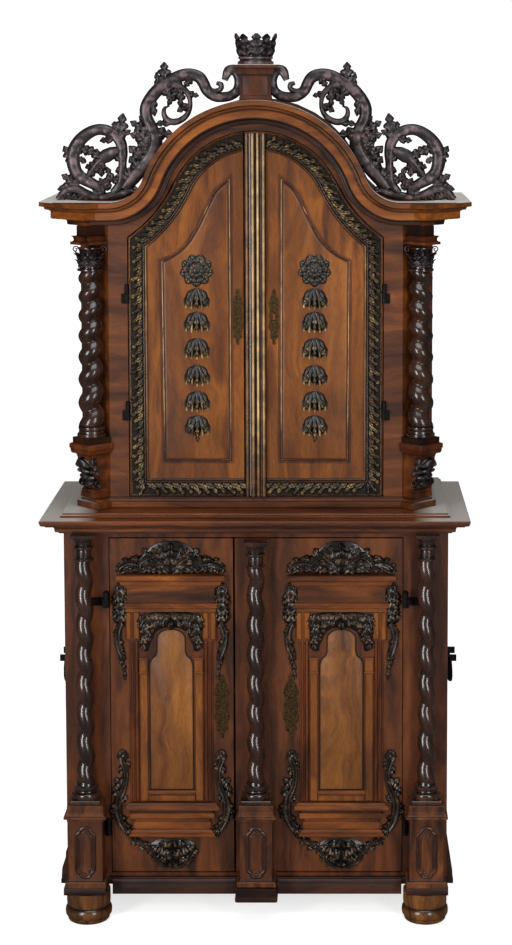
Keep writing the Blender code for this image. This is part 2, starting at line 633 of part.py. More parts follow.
def make_lower_case():
    """Sides, floor, corner stiles and top rail in one frame, with a back board and a shelf."""
    half = LOWER_HALF_WIDTH
    inner = half - BOARD
    floor = LOWER_CASE_BOTTOM + BOARD
    shell = box((-half, half), (LOWER_FACE_Y, BACK_Y), (LOWER_CASE_BOTTOM, LOWER_CASE_TOP))
    cavity = box((-inner, inner), (LOWER_FACE_Y + BOARD, BACK_Y + OVERRUN), (floor, LOWER_CASE_TOP + OVERRUN))
    opening = box((-LOWER_OPENING_HALF, LOWER_OPENING_HALF),
                  (LOWER_FACE_Y - OVERRUN, LOWER_FACE_Y + BOARD + OVERRUN),
                  (LOWER_CASE_BOTTOM + LOWER_OPENING_RISE, LOWER_CASE_TOP - LOWER_TOP_RAIL))
    add_piece("lower_carcase", cut(shell, cavity, opening), "walnut_dark")
    fit = inner - GAP
    back_front = BACK_Y - BACK_BOARD
    add_piece("lower_back", box((-fit, fit), (back_front, BACK_Y), (floor + GAP, LOWER_CASE_TOP)), "inside_wood")
    shelf_z = floor + LOWER_SHELF_SHARE * (LOWER_CASE_TOP - floor)
    add_piece("lower_shelf", box((-fit, fit), (LOWER_FACE_Y + LOWER_SHELF_SETBACK, back_front - GAP),
                                 (shelf_z, shelf_z + SHELF_THICKNESS)), "inside_wood")


def make_lower_cornice():
    """The projecting top of the lower case, hollow below, with the step board on it."""
    plan = rectangle(-LOWER_HALF_WIDTH, LOWER_HALF_WIDTH, LOWER_BED_Y, BACK_Y)
    levels = levels_from(LOWER_CORNICE_SHARES, LOWER_CORNICE_PROJECTION, LOWER_CORNICE_BOTTOM, LOWER_CORNICE_HEIGHT)
    slab = moulded_block(plan, levels, flush=(2,))
    step = box((-STEP_HALF_WIDTH, STEP_HALF_WIDTH), (FRONT_Y + STEP_SETBACK, BACK_Y),
               (LOWER_CORNICE_TOP - LOWER_TOP_BOARD / 2, STEP_TOP))
    inner = LOWER_HALF_WIDTH - BOARD
    hollow = box((-inner, inner), (LOWER_FACE_Y + BOARD, BACK_Y - BOARD),
                 (LOWER_CORNICE_BOTTOM - OVERRUN, LOWER_CORNICE_TOP - LOWER_TOP_BOARD))
    add_piece("lower_cornice", cut(join(slab, step), hollow), "walnut")


def make_pedestal(name, centre_x, half_width, finish, bottom, pivot=None, side=1):
    """A square pedestal with a moulded cap and a plain base, flat at the back."""
    plan = rectangle(centre_x - half_width, centre_x + half_width, PEDESTAL_FRONT_Y, LOWER_FACE_Y - GAP)
    base = PEDESTAL_BASE_PROJECTION
    cap_bottom = PEDESTAL_TOP - PEDESTAL_CAP_HEIGHT
    levels = [(base, bottom), (base, bottom + PEDESTAL_BASE_HEIGHT * 0.7), (0, bottom + PEDESTAL_BASE_HEIGHT)]
    levels += levels_from(PEDESTAL_CAP_SHARES, PEDESTAL_CAP_PROJECTION, cap_bottom, PEDESTAL_CAP_HEIGHT)
    add_piece(name, moulded_block(plan, levels, flush=(2,)), finish, side, pivot)


def lower_column(x, top):
    """A turned base, a one-strand twisted shaft and a ringed cap, square at both ends."""
    y = LOWER_COLUMN_Y
    bottom = PEDESTAL_TOP + GAP
    block = LOWER_COLUMN_BLOCK_HALF
    ring_radius = LOWER_COLUMN_BLOCK_HALF * 0.98
    rings = [[(x + block * a, y + block * b, z) for a, b in square_shares()]
             for z in (bottom, bottom + LOWER_COLUMN_BLOCK_HEIGHT)]
    base_bottom = bottom + LOWER_COLUMN_BLOCK_HEIGHT
    for share, rise in LOWER_COLUMN_BASE_SHARES:
        rings.append(round_ring(x, y, share * ring_radius, base_bottom + rise * LOWER_COLUMN_BASE_HEIGHT))
    shaft_bottom = base_bottom + LOWER_COLUMN_BASE_HEIGHT
    shaft_top = top - LOWER_COLUMN_CAP_HEIGHT
    steps = ceil((shaft_top - shaft_bottom) / LOWER_TWIST_PITCH * RINGS_PER_TURN)
    for i in range(1, steps):
        z = shaft_bottom + (shaft_top - shaft_bottom) * i / steps
        turn = 2 * pi * (z - shaft_bottom) / LOWER_TWIST_PITCH
        rings.append(twisted_ring(x, y, z, turn, LOWER_SHAFT_RADIUS, LOWER_GROOVE_RADIUS, 1, pi / 4))
    abacus = LOWER_ABACUS_HALF
    for share, rise in LOWER_COLUMN_CAP_SHARES:
        rings.append(round_ring(x, y, share * abacus, shaft_top + rise * LOWER_COLUMN_CAP_HEIGHT))
    for z in (top - LOWER_COLUMN_CAP_HEIGHT * 0.15, top):
        rings.append([(x + abacus * a, y + abacus * b, z) for a, b in square_shares()])
    return loft(rings)


def twisted_ring(x, y, z, turn, ridge, groove, hand, start):
    """One section of a twisted shaft; hand 1 falls to the right at the front."""
    ring = []
    for k in range(SHAFT_SIDES):
        angle = start + 2 * pi * k / SHAFT_SIDES
        radius = twisted_radius(angle + hand * turn, ridge, groove)
        ring.append((x + radius * cos(angle), y + radius * sin(angle), z))
    return ring


def portal():
    """The applied portal of a lower door: carved outline, frame, entablature and foot."""
    x, half, low, height = PORTAL_X, PORTAL_HALF_WIDTH, LOWER_DOOR_BOTTOM + PORTAL_RISE, PORTAL_HEIGHT
    back = LOWER_FACE_Y - GAP

    def outline(shares):
        points = both_halves([(s * half, low + h * height) for s, h in shares])
        return [(x + px, pz) for px, pz in points]

    def stacked(shares):
        rings = []
        for s, h, d in shares:
            y = back - d * PORTAL_DEPTH
            rings.append([(x - s * half, y, low + h * height), (x + s * half, y, low + h * height),
                          (x + s * half, back, low + h * height), (x - s * half, back, low + h * height)])
        return loft(rings)

    frame_half, frame_low, frame_high, frame_depth = PORTAL_FRAME_SHARES
    frame = box((x - frame_half * half, x + frame_half * half), (back - frame_depth * PORTAL_DEPTH, back),
                (low + frame_low * height, low + frame_high * height))
    backing = upright_prism(outline(PORTAL_OUTLINE_SHARES), back, back - PORTAL_BACKING_SHARE * PORTAL_DEPTH)
    whole = join(backing, frame, stacked(PORTAL_HEAD_SHARES), stacked(PORTAL_FOOT_SHARES))
    window = upright_prism(outline(PORTAL_WINDOW_SHARES), back + OVERRUN, back - PORTAL_DEPTH - OVERRUN)
    return cut(whole, window)


def door_knuckles(x, y, radius, pin_radius, length, heights, arm_range, face_y):
    """The barrels of one door, each with the arm that lets it into the door's edge."""
    pieces = []
    for z in heights:
        low, high = z + KNUCKLE_GAP, z + length / 2
        bar = box((arm_range[0], x), (y - radius * 0.5, y + radius * 0.5), (low, high))
        arm = join(bar, box(arm_range, (y, face_y + radius), (low, high)))
        bore_top = low + (high - low) * PIN_SHARE + BORE_CLEARANCE
        bore = cylinder(x, y, pin_radius + BORE_CLEARANCE, low - OVERRUN, bore_top, HINGE_SIDES)
        barrel = cylinder(x, y, radius, low, high, HINGE_SIDES)
        pieces.append(cut(join(barrel, arm), bore))
    return pieces


def case_hinge(x, y, radius, pin_radius, length, z, leaf_end, face_y):
    """The case-side half of a hinge: leaf, lower barrel and the pin that stands in the door's."""
    low = z - length / 2
    barrel = cylinder(x, y, radius, low, z, HINGE_SIDES)
    pin_top = z + KNUCKLE_GAP + (length / 2 - KNUCKLE_GAP) * PIN_SHARE
    pin = cylinder(x, y, pin_radius, z - radius, pin_top, HINGE_SIDES)
    leaf = box((x + radius * 0.4, leaf_end), (face_y - GAP - LEAF_THICKNESS, face_y - GAP), (low, z))
    arm = box((x + radius * 0.4, x + radius * 1.3), (y - radius * 0.3, face_y - GAP), (low, z))
    return join(barrel, arm, leaf, pin)


def lower_hinge_heights():
    height = LOWER_DOOR_TOP - LOWER_DOOR_BOTTOM
    return [LOWER_DOOR_BOTTOM + share * height for share in LOWER_HINGE_RISE_SHARES]


def upper_hinge_heights():
    return [UPPER_CASE_BOTTOM + share * UPPER_CASE_HEIGHT for share in UPPER_HINGE_RISE_SHARES]


def make_lower_doors():
    """Both lower doors; the right one carries the middle strip with its pedestal and column."""
    hinge_y = LOWER_FACE_Y - LOWER_HINGE_FORWARD
    outer = LOWER_OPENING_HALF - LOWER_DOOR_HINGE_GAP
    for side in (1, -1):
        name = side_name(side)
        pivot = add_pivot(f"lower_hinge_axis_{name}", side * LOWER_HINGE_X, hinge_y, LOWER_DOOR_BOTTOM)
        inner = -LOWER_MEETING_HALF if side > 0 else LOWER_MEETING_HALF + LOWER_MEETING_GAP
        board = box((inner, outer), (LOWER_FACE_Y, LOWER_FACE_Y + DOOR_THICKNESS), (LOWER_DOOR_BOTTOM, LOWER_DOOR_TOP))
        parts = [board]
        knuckles = door_knuckles(LOWER_HINGE_X, hinge_y, LOWER_HINGE_RADIUS, LOWER_PIN_RADIUS, LOWER_HINGE_LENGTH,
                                 lower_hinge_heights(), (LOWER_HINGE_ARM_END, outer), LOWER_FACE_Y)
        add_piece(f"lower_door_{name}", join(*parts, *knuckles), "walnut", side, pivot)
        add_piece(f"portal_{name}", portal(), "walnut_dark", side, pivot)
        if side > 0:
            pedestal_bottom = PLINTH_TOP + DOOR_CLEARANCE
            make_pedestal("centre_pedestal", 0, CENTRE_PEDESTAL_HALF_WIDTH, "walnut", pedestal_bottom, pivot)
            top = LOWER_CASE_TOP - CENTRE_COLUMN_TOP_GAP
            add_piece("lower_column_centre", lower_column(0, top), "ebonised", 1, pivot)
            make_lock("lower", pivot, -LOWER_MEETING_HALF, LOWER_FACE_Y + DOOR_THICKNESS, LOWER_KEYHOLE_Z)
        centre_x, half_width = LOWER_ESCUTCHEON
        add_piece(f"lower_escutcheon_{name}",
                  escutcheon(centre_x, half_width, LOWER_ESCUTCHEON_SHARE * PORTAL_HEIGHT, LOWER_KEYHOLE_Z,
                             LOWER_FACE_Y, side > 0), "brass", side, pivot)


def make_lower_hinges():
    """The four case-side halves of the lower hinges."""
    hinge_y = LOWER_FACE_Y - LOWER_HINGE_FORWARD
    for side in (1, -1):
        for place, z, leaf_end in zip(("bottom", "top"), lower_hinge_heights(), LOWER_HINGE_LEAF_ENDS):
            half = case_hinge(LOWER_HINGE_X, hinge_y, LOWER_HINGE_RADIUS, LOWER_PIN_RADIUS, LOWER_HINGE_LENGTH, z,
                              leaf_end, LOWER_FACE_Y)
            add_piece(f"lower_hinge_{side_name(side)}_{place}", half, "iron", side)


def make_lower_supports():
    """The two fixed pedestals and columns at the corners."""
    for side in (1, -1):
        make_pedestal(f"corner_pedestal_{side_name(side)}", PEDESTAL_X, PEDESTAL_HALF_WIDTH, "walnut",
                      PEDESTAL_BOTTOM, side=side)
        bm = lower_column(side * PEDESTAL_X, LOWER_CASE_TOP)
        add_piece(f"lower_column_{side_name(side)}", bm, "ebonised")


def make_lock(name, pivot, edge_x, back_y, z):
    """A rim lock on the back of a right door: an open-ended case and its sliding bolt."""
    left = edge_x + LOCK_EDGE_GAP
    near, far = back_y + GAP, back_y + GAP + LOCK_DEPTH
    case = box((left, left + LOCK_LENGTH), (near, far), (z - LOCK_HEIGHT / 2, z + LOCK_HEIGHT / 2))
    half_channel = BOLT_HEIGHT / 2 + BOLT_CLEARANCE
    channel = box((left - OVERRUN, left + BOLT_LENGTH + LOCK_WALL),
                  (near + LOCK_WALL, far - LOCK_WALL), (z - half_channel, z + half_channel))
    add_piece(f"{name}_lock_case", cut(case, channel), "iron", 1, pivot)
    slide = add_pivot(f"{name}_bolt_axis", left - pivot.location.x, near - pivot.location.y, z - pivot.location.z)
    slide.parent = pivot
    inset = LOCK_WALL + BOLT_CLEARANCE
    bolt = box((left, left + BOLT_LENGTH), (near + inset, far - inset), (z - BOLT_HEIGHT / 2, z + BOLT_HEIGHT / 2))
    bmesh.ops.translate(bolt, verts=bolt.verts, vec=-pivot.location)
    add_piece(f"{name}_lock_bolt", bolt, "iron", 1, slide)


def escutcheon(centre_x, half_width, height, keyhole_z, face_y, pierced):
    """A tall scrolled plate, with a keyhole on the doors that have a lock."""
    low = keyhole_z - height / 2
    half = [(s * half_width, low + h * height) for s, h in ESCUTCHEON_SHARES]
    outline = [(centre_x + x, z) for x, z in both_halves(half)]
    plate = upright_prism(outline, face_y - GAP, face_y - GAP - ESCUTCHEON_THICKNESS)
    if not pierced:
        return plate
    key_low, key_high = keyhole_z - KEYHOLE_LENGTH / 2, keyhole_z + KEYHOLE_LENGTH / 2
    slot = box((centre_x - KEYHOLE_HALF_WIDTH, centre_x + KEYHOLE_HALF_WIDTH),
               (face_y - ESCUTCHEON_THICKNESS - OVERRUN, face_y + OVERRUN), (key_low, key_high))
    return cut(plate, slot)


def upper_plan(inset):
    """Plan of the upper case with canted front corners, drawn in by inset."""
    half = UPPER_HALF_WIDTH
    cant_y = UPPER_FACE_Y + (half - UPPER_CANT_X)
    plan = [(-UPPER_CANT_X, UPPER_FACE_Y), (UPPER_CANT_X, UPPER_FACE_Y), (half, cant_y), (half, BACK_Y),
            (-half, BACK_Y), (-half, cant_y)]
    distances = [-inset] * len(plan)
    distances[3] = OVERRUN if inset else 0
    return [(point.x, point.y) for point in offset_plan(plan, distances)]


def cornice_plan():
    """Plan of the case behind the cornice, broken forward a little at the canted corners."""
    half, corner = CORNICE_HALF_WIDTH, CORNICE_CORNER_X
    cant_y = UPPER_FACE_Y - CORNICE_BREAK + (half - corner)
    right = [(corner - CORNICE_BREAK, UPPER_FACE_Y), (corner, UPPER_FACE_Y - CORNICE_BREAK), (half, cant_y),
             (half, BACK_Y)]
    return right


def silhouette(drop, half_width, bottom):
    """Front outline of the upper case: straight sides, wings and arch."""
    line = case_arch(drop)
    right = line + [(half_width, line[-1][1]), (half_width, bottom)]
    return both_halves(right)


def make_upper_case():
    """The upper carcase, cut from one arched block, with its back board and shelves."""
    lower = flat_prism(upper_plan(0), UPPER_CASE_BOTTOM, CORNICE_BOTTOM)
    right = cornice_plan()
    top_plan = [(-x, y) for x, y in reversed(right)] + right
    head_height = ARCH_CENTRE_Z + ARCH_RADIUS + OVERRUN
    head = flat_prism(top_plan, CORNICE_BOTTOM - GAP, head_height)
    head_shape = upright_prism(silhouette(0, CORNICE_HALF_WIDTH + OVERRUN, UPPER_CASE_BOTTOM),
                               BACK_Y + OVERRUN, FRONT_Y - OVERRUN)
    outer = join(boolean(head, head_shape, "INTERSECT"), lower)
    inner_half = UPPER_HALF_WIDTH - UPPER_BOARD
    floor = UPPER_CASE_BOTTOM + UPPER_BOARD
    room = flat_prism(upper_plan(UPPER_BOARD), floor, head_height)
    room_shape = upright_prism(silhouette(UPPER_BOARD, inner_half + OVERRUN, UPPER_CASE_BOTTOM),
                               BACK_Y + 2 * OVERRUN, FRONT_Y)
    opening_line = door_arch(-DOOR_CLEARANCE, UPPER_DOOR_HALF + DOOR_CLEARANCE)
    opening = both_halves(opening_line + [(UPPER_DOOR_HALF + DOOR_CLEARANCE, UPPER_CASE_BOTTOM - OVERRUN)])
    opening_solid = upright_prism(opening, UPPER_FACE_Y + UPPER_BOARD + OVERRUN, UPPER_FACE_Y - OVERRUN)
    sill = box((-UPPER_CANT_X, UPPER_CANT_X), (UPPER_FACE_Y + DOOR_THICKNESS + DOOR_CLEARANCE, BACK_Y - OVERRUN),
               (UPPER_CASE_BOTTOM, floor))
    shell = cut(outer, boolean(room, room_shape, "INTERSECT"), opening_solid)
    add_piece("upper_carcase", join(shell, sill), "walnut")
    fit = inner_half - GAP
    board_front = BACK_Y - UPPER_BACK_BOARD
    add_piece("upper_back", upright_prism(silhouette(UPPER_BOARD + GAP, fit, floor + GAP), BACK_Y,
                                          board_front), "inside_wood")
    for share in UPPER_SHELF_SHARES:
        z = floor + share * (CORNICE_BOTTOM - floor)
        add_piece("upper_shelf", box((-fit, fit), (UPPER_FACE_Y + UPPER_SHELF_SETBACK, board_front - GAP),
                                     (z, z + SHELF_THICKNESS)), "inside_wood")


def corner_point(u, v, z):
    """A point by its distance along the canted corner's outward line and across it."""
    turned = sqrt(0.5)
    return (UPPER_COLUMN_X + (u + v) * turned, UPPER_COLUMN_Y + (v - u) * turned, z)


def corner_block(front, half, z):
    """A ring round a block on the turned corner that reaches back to the canted face."""
    ring = []
    for a, b in square_shares():
        u = a * front if a > 0 else -a * COLUMN_BACK
        ring.append(corner_point(u, b * half, z))
    return ring


def make_base_moulding():
    """The base of the upper case, which follows its plan and breaks out under the corner blocks."""
    reach = BRACKET_CAP_REACH
    front_corner, side_corner = (corner_point(reach, v, 0)[:2] for v in (-reach, reach))
    meet_x = front_corner[0] - (UPPER_FACE_Y - front_corner[1])
    side_y = side_corner[1] + (side_corner[0] - UPPER_HALF_WIDTH)
    right = [(meet_x, UPPER_FACE_Y), front_corner, side_corner, (UPPER_HALF_WIDTH, side_y),
             (UPPER_HALF_WIDTH, BACK_Y)]
    plan = [(-x, y) for x, y in reversed(right)] + right
    levels = levels_from(BASE_MOULDING_SHARES, BASE_MOULDING_PROJECTION, BASE_MOULDING_BOTTOM, BASE_MOULDING_HEIGHT)
    bm = moulded_block(plan, levels, flush=(len(plan) - 1,))
    add_piece("upper_base_moulding", bm, "walnut_dark")


def make_brackets():
    """The stepped blocks under the corner columns, each with a scroll on its outer face."""
    for side in (1, -1):
        rings = [corner_block(s * BRACKET_CAP_REACH, s * BRACKET_CAP_REACH, BRACKET_BOTTOM + h * BRACKET_HEIGHT)
                 for s, h in BRACKET_SHARES]
        scroll_z = BRACKET_BOTTOM + BRACKET_HEIGHT * 0.52
        scroll = []
        for v in (-SCROLL_THICKNESS / 2, SCROLL_THICKNESS / 2):
            ring = []
            for k in range(SHAFT_SIDES):
                angle = 2 * pi * k / SHAFT_SIDES
                u = SCROLL_RADIUS * 0.55 + SCROLL_RADIUS * cos(angle) * (0.85 - 0.25 * sin(angle))
                ring.append(corner_point(u, v, scroll_z + SCROLL_RADIUS * sin(angle)))
            scroll.append(ring)
        add_piece(f"upper_bracket_{side_name(side)}", join(loft(rings), loft(scroll)), "walnut_dark", side)


def make_upper_columns():
    """The free corner columns: base, twisted shaft, leaf capital and entablature block."""
    for side in (1, -1):
        base_bottom = UPPER_COLUMN_BOTTOM
        foot = UPPER_SHAFT_FOOT_RADIUS
        rings = [corner_ring(s * foot * 0.9, base_bottom + h * UPPER_COLUMN_BASE_HEIGHT)
                 for s, h in UPPER_COLUMN_BASE_SHARES]
        shaft_bottom = base_bottom + UPPER_COLUMN_BASE_HEIGHT
        slow, quick = UPPER_SHAFT_HEIGHT / UPPER_TWIST_FOOT_PITCH, UPPER_SHAFT_HEIGHT / UPPER_TWIST_TOP_PITCH
        steps = ceil((slow + quick) / 2 * RINGS_PER_TURN)
        for i in range(1, steps):
            share = i / steps
            turn = 2 * pi * (slow * share + (quick - slow) * share ** 2 / 2)
            ridge = foot + (UPPER_SHAFT_TOP_RADIUS - foot) * share
            z = shaft_bottom + share * UPPER_SHAFT_HEIGHT
            rings.append(twisted_ring(UPPER_COLUMN_X, UPPER_COLUMN_Y, z, turn, ridge, ridge * UPPER_GROOVE_SHARE,
                                      1, 0))
        capital_bottom = shaft_bottom + UPPER_SHAFT_HEIGHT
        for s, h in CAPITAL_SHARES:
            rings.append(corner_ring(s * CAPITAL_RADIUS, capital_bottom + h * CAPITAL_HEIGHT))
        block_bottom = capital_bottom + CAPITAL_HEIGHT
        for s, h in ENTABLATURE_SHARES:
            step = s * ENTABLATURE_CAP_PROJECTION
            rings.append(corner_block(ENTABLATURE_FRONT + step, ENTABLATURE_HALF + step,
                                      block_bottom + h * ENTABLATURE_HEIGHT))
        add_piece(f"upper_column_{side_name(side)}", loft(rings), "ebonised", side)


def corner_ring(radius, z):
    """A round ring whose points match the corner blocks' corners."""
    ring = []
    for k in range(SHAFT_SIDES):
        angle = pi / 4 + 2 * pi * k / SHAFT_SIDES
        ring.append(corner_point(radius * cos(angle), radius * sin(angle), z))
    return ring


def cornice_stations():
    """Right half of the cornice's path: origin, projecting direction and rising direction."""
    stations = []
    for point, normal in arch_half(ARCH_CENTRE_Z, ARCH_RADIUS, ARCH_COVE_RADIUS, ARCH_TURN):
        stations.append((Vector((point.x, UPPER_FACE_Y, point.y)), Vector((0, -1, 0)), Vector((normal.x, 0, normal.y))))
    plan = [(0, UPPER_FACE_Y)] + cornice_plan() + [(0, BACK_Y)]
    moved = offset_plan(plan, [1] * (len(plan) - 2) + [0, 0])
    for here, there in zip(plan[1:-1], moved[1:-1]):
        project = Vector((there[0] - here[0], there[1] - here[1], 0))
        stations.append((Vector((*here, CORNICE_TOP)), project, Vector((0, 0, 1))))
    return stations


def make_arched_cornice():
    """The main cornice, swept over the arch and mitred round the corners to the back."""
    half = cornice_stations()
    flip = Vector((-1, 1, 1))
    left = [tuple(vector * flip for vector in station) for station in reversed(half[1:])]
    rings = []
    for origin, project, rise in left + half:
        rings.append([origin + project * (GAP + p * CORNICE_PROJECTION) + rise * (h - 1) * CORNICE_HEIGHT
                      for p, h in CORNICE_SHARES])
    cornice = loft(rings)
    soffit = CORNICE_BOTTOM + FRIEZE_BLOCK_SHARE * CORNICE_HEIGHT
    for side in (1, -1):
        near, far, half = HEAD_CANT + GAP * 2, ENTABLATURE_FRONT, ENTABLATURE_HALF
        corners = [corner_point(u, v, 0) for u, v in ((near, -half), (far, -half), (far, half), (near, half))]
        block = flat_prism([(side * x, y) for x, y, _ in corners], CORNICE_BOTTOM, soffit)
        cornice = join(cornice, block)
    add_piece("arched_cornice", cornice, "walnut")


def door_outline(inner_x, outer_x, bottom, inset=0):
    """Outline of one upper door or of a band in it, from the meeting edge outwards."""
    head = trim_start(door_arch(inset, outer_x), inner_x) if inner_x > 0 else door_arch(inset, outer_x)
    outline = head + [(outer_x, bottom)]
    if inner_x < 0:
        left_head = [(-x, z) for x, z in reversed(trim_start(door_arch(inset, outer_x), 0)[:3]) if 0 < x < -inner_x]
        edge_z = DOOR_ARCH_CENTRE_Z + sqrt((DOOR_ARCH_RADIUS - inset) ** 2 - inner_x ** 2)
        outline = [(inner_x, edge_z)] + left_head + outline
    return outline + [(inner_x, bottom)]


def raised_panel():
    """The fielded panel of an upper door, bevelled on its front."""
    full = door_outline(PANEL_INNER_X, PANEL_OUTER_X, UPPER_DOOR_BOTTOM + PANEL_RISE, PANEL_TOP_DROP)
    drawn_in = offset_plan(full, [PANEL_BEVEL] * len(full))
    rings = [[(x, y, z) for x, z in full] for y in (UPPER_FACE_Y + PANEL_PROUD, UPPER_FACE_Y)]
    rings.append([(x, UPPER_FACE_Y - PANEL_PROUD, z) for x, z in drawn_in])
    return loft(rings)


def frame_band(inner_x):
    """The carved band that runs along the foot, the hinge side and the head of a door."""
    outer_x = UPPER_DOOR_HALF - FRAME_BAND_SIDE_GAP
    bottom = UPPER_DOOR_BOTTOM + FRAME_BAND_SIDE_GAP
    outer = trim_start(door_arch(FRAME_BAND_SIDE_GAP, outer_x), inner_x)
    inner = trim_start(door_arch(FRAME_BAND_WIDTH, outer_x - FRAME_BAND_WIDTH), inner_x)
    inside_x = inner[-1][0]
    foot = bottom + FRAME_BAND_FOOT
    outline = outer + [(outer_x, bottom), (inner_x, bottom), (inner_x, foot), (inside_x, foot)] + inner[::-1]
    return upright_prism(outline, UPPER_FACE_Y - GAP, UPPER_FACE_Y - GAP - FRAME_BAND_DEPTH)


def husk_drop():
    """A rosette with a chain of bell-flowers, each growing out of the one above."""
    rosette_z = UPPER_CASE_BOTTOM + DROP_Z_SHARE * UPPER_CASE_HEIGHT
    half = []
    steps = ROSETTE_PETALS * 2
    for i in range(steps):
        angle = pi * i / steps
        radius = ROSETTE_RADIUS * (1 if i % 2 == 0 else 0.88)
        half.append((radius * sin(angle), rosette_z + radius * cos(angle)))
    top = rosette_z - ROSETTE_RADIUS * 0.96
    for i in range(HUSK_COUNT):
        for s, h in HUSK_SHARES:
            half.append((s * HUSK_HALF_WIDTH, top - (i + h) * HUSK_PITCH))
    half.append((0, top - (HUSK_COUNT - 1) * HUSK_PITCH - HUSK_PITCH * 0.9 - HUSK_TAIL * 0.3))
    panel_face = UPPER_FACE_Y - PANEL_PROUD - GAP
    outline = [(DROP_X + x, z) for x, z in both_halves(half)]
    return upright_prism(outline, panel_face, panel_face - DROP_DEPTH)


def astragal():
    """The reeded strip that covers the meeting of the upper doors."""
    section = []
    reed = 2 * ASTRAGAL_HALF / ASTRAGAL_REEDS
    back = UPPER_FACE_Y - GAP
    for i in range(ASTRAGAL_REEDS):
        centre = -ASTRAGAL_HALF + (i + 0.5) * reed
        for angle in (180, 135, 90, 45):
            x = centre + reed / 2 * cos(radians(angle))
            section.append((x, back - ASTRAGAL_DEPTH + reed / 2 - reed / 2 * sin(radians(angle))))
    section += [(ASTRAGAL_HALF, back - ASTRAGAL_DEPTH + reed / 2), (ASTRAGAL_HALF, back), (-ASTRAGAL_HALF, back)]
    top = DOOR_ARCH_CENTRE_Z + sqrt(DOOR_ARCH_RADIUS ** 2 - ASTRAGAL_HALF ** 2) - ASTRAGAL_TOP_GAP
    return flat_prism(section, UPPER_DOOR_BOTTOM, top)


def make_upper_doors():
    """Both upper doors with their bands, drops and plates; the right one carries the astragal."""
    hinge_y = UPPER_FACE_Y - UPPER_HINGE_RADIUS - GAP
    keyhole_z = UPPER_CASE_BOTTOM + UPPER_KEYHOLE_RISE
    for side in (1, -1):
        name = side_name(side)
        pivot = add_pivot(f"upper_hinge_axis_{name}", side * UPPER_HINGE_X, hinge_y, UPPER_DOOR_BOTTOM)
        inner = -ASTRAGAL_HALF if side > 0 else ASTRAGAL_HALF + UPPER_MEETING_GAP
        band_outer = UPPER_DOOR_HALF - FRAME_BAND_SIDE_GAP
        board = upright_prism(door_outline(inner, UPPER_DOOR_HALF, UPPER_DOOR_BOTTOM),
                              UPPER_FACE_Y + DOOR_THICKNESS, UPPER_FACE_Y)
        knuckles = door_knuckles(UPPER_HINGE_X, hinge_y, UPPER_HINGE_RADIUS, UPPER_PIN_RADIUS, UPPER_HINGE_LENGTH,
                                 upper_hinge_heights(), (band_outer + GAP, UPPER_DOOR_HALF), UPPER_FACE_Y)
        add_piece(f"upper_door_{name}", join(board, raised_panel(), *knuckles), "walnut_light", side, pivot)
        band_start = ASTRAGAL_HALF + (GAP if side > 0 else UPPER_MEETING_GAP + GAP)
        add_piece(f"door_frame_carving_{name}", frame_band(band_start), "carving", side, pivot)
        add_piece(f"husk_drop_{name}", husk_drop(), "carving", side, pivot)
        centre_x, half_width, height = UPPER_ESCUTCHEON
        plate = escutcheon(centre_x, half_width, height, keyhole_z, UPPER_FACE_Y, side > 0)
        add_piece(f"upper_escutcheon_{name}", plate, "brass", side, pivot)
        if side > 0:
            add_piece("astragal", astragal(), "walnut_light", 1, pivot)
            make_lock("upper", pivot, -ASTRAGAL_HALF, UPPER_FACE_Y + DOOR_THICKNESS, keyhole_z)
        for place, z in zip(("bottom", "top"), upper_hinge_heights()):
            half = case_hinge(UPPER_HINGE_X, hinge_y, UPPER_HINGE_RADIUS, UPPER_PIN_RADIUS, UPPER_HINGE_LENGTH, z,
                              UPPER_HINGE_X + UPPER_HINGE_LEAF, UPPER_FACE_Y)
            add_piece(f"upper_hinge_{name}_{place}", half, "iron", side)


def crest_path(shares):
    """A crest stroke's points in metres."""
    return [crest_point(*share) for share in shares]


def crest_point(reach_share, height_share):
    """A point of the crest from its shares of reach and height."""
    inner = BLOCK_HALF_WIDTH + GAP
    foot = CORNICE_TOP + GAP
    return Vector((inner + reach_share * CREST_REACH, foot + height_share * CREST_HEIGHT))


def stroke(path, taper, thickness):
    """A flat-fronted scroll band along a path; taper gives its widths as shares of the crest's band."""
    start_width, middle_width, end_width = (share * CREST_BAND for share in taper)
    rings = []
    last = len(path) - 1
    for i, point in enumerate(path):
        ahead = (path[min(i + 1, last)] - path[max(i - 1, 0)]).normalized()
        across = Vector((-ahead.y, ahead.x))
        share = i / last
        first, second = (start_width, middle_width) if share < 0.5 else (middle_width, end_width)
        width = first + (second - first) * ((share * 2) % 1 if share < 1 else 1)
        ring = []
        for s, d in ((-0.5, 0.5), (0.5, 0.5), (0.5, -0.5), (-0.5, -0.5)):
            place = point + across * (s * width)
            ring.append((place.x, CREST_Y - d * thickness, place.y))
        rings.append(ring)
    return loft(rings)


def make_crest():
    """The pierced scroll carving on both sides, made of scroll bands and leaf tips."""
    for side in (1, -1):
        strokes = [stroke(crest_path(CREST_MAIN_SHARES), CREST_MAIN_TAPER, CREST_THICKNESS),
                   stroke(crest_path(CREST_BRANCH_SHARES), CREST_BRANCH_TAPER, CREST_THICKNESS * 0.82),
                   stroke(crest_path(CREST_LOOP_SHARES), CREST_LOOP_TAPER, CREST_THICKNESS * 0.90),
                   stroke(crest_path(CREST_FOOT_SHARES), CREST_FOOT_TAPER, CREST_THICKNESS * 0.76)]
        for shares in CREST_LEAVES_SHARES:
            root, tip = (crest_point(*share) for share in shares)
            path = [root, root.lerp(tip, 0.6), tip]
            strokes.append(stroke(path, CREST_LEAF_TAPER, CREST_THICKNESS * 0.66))
        roof = upright_prism(silhouette(-GAP, BLOCK_HALF_WIDTH + CREST_REACH * 2, UPPER_CASE_BOTTOM), BACK_Y, FRONT_Y)
        add_piece(f"crest_{side_name(side)}", cut(join(*strokes), roof), "ebonised", side)


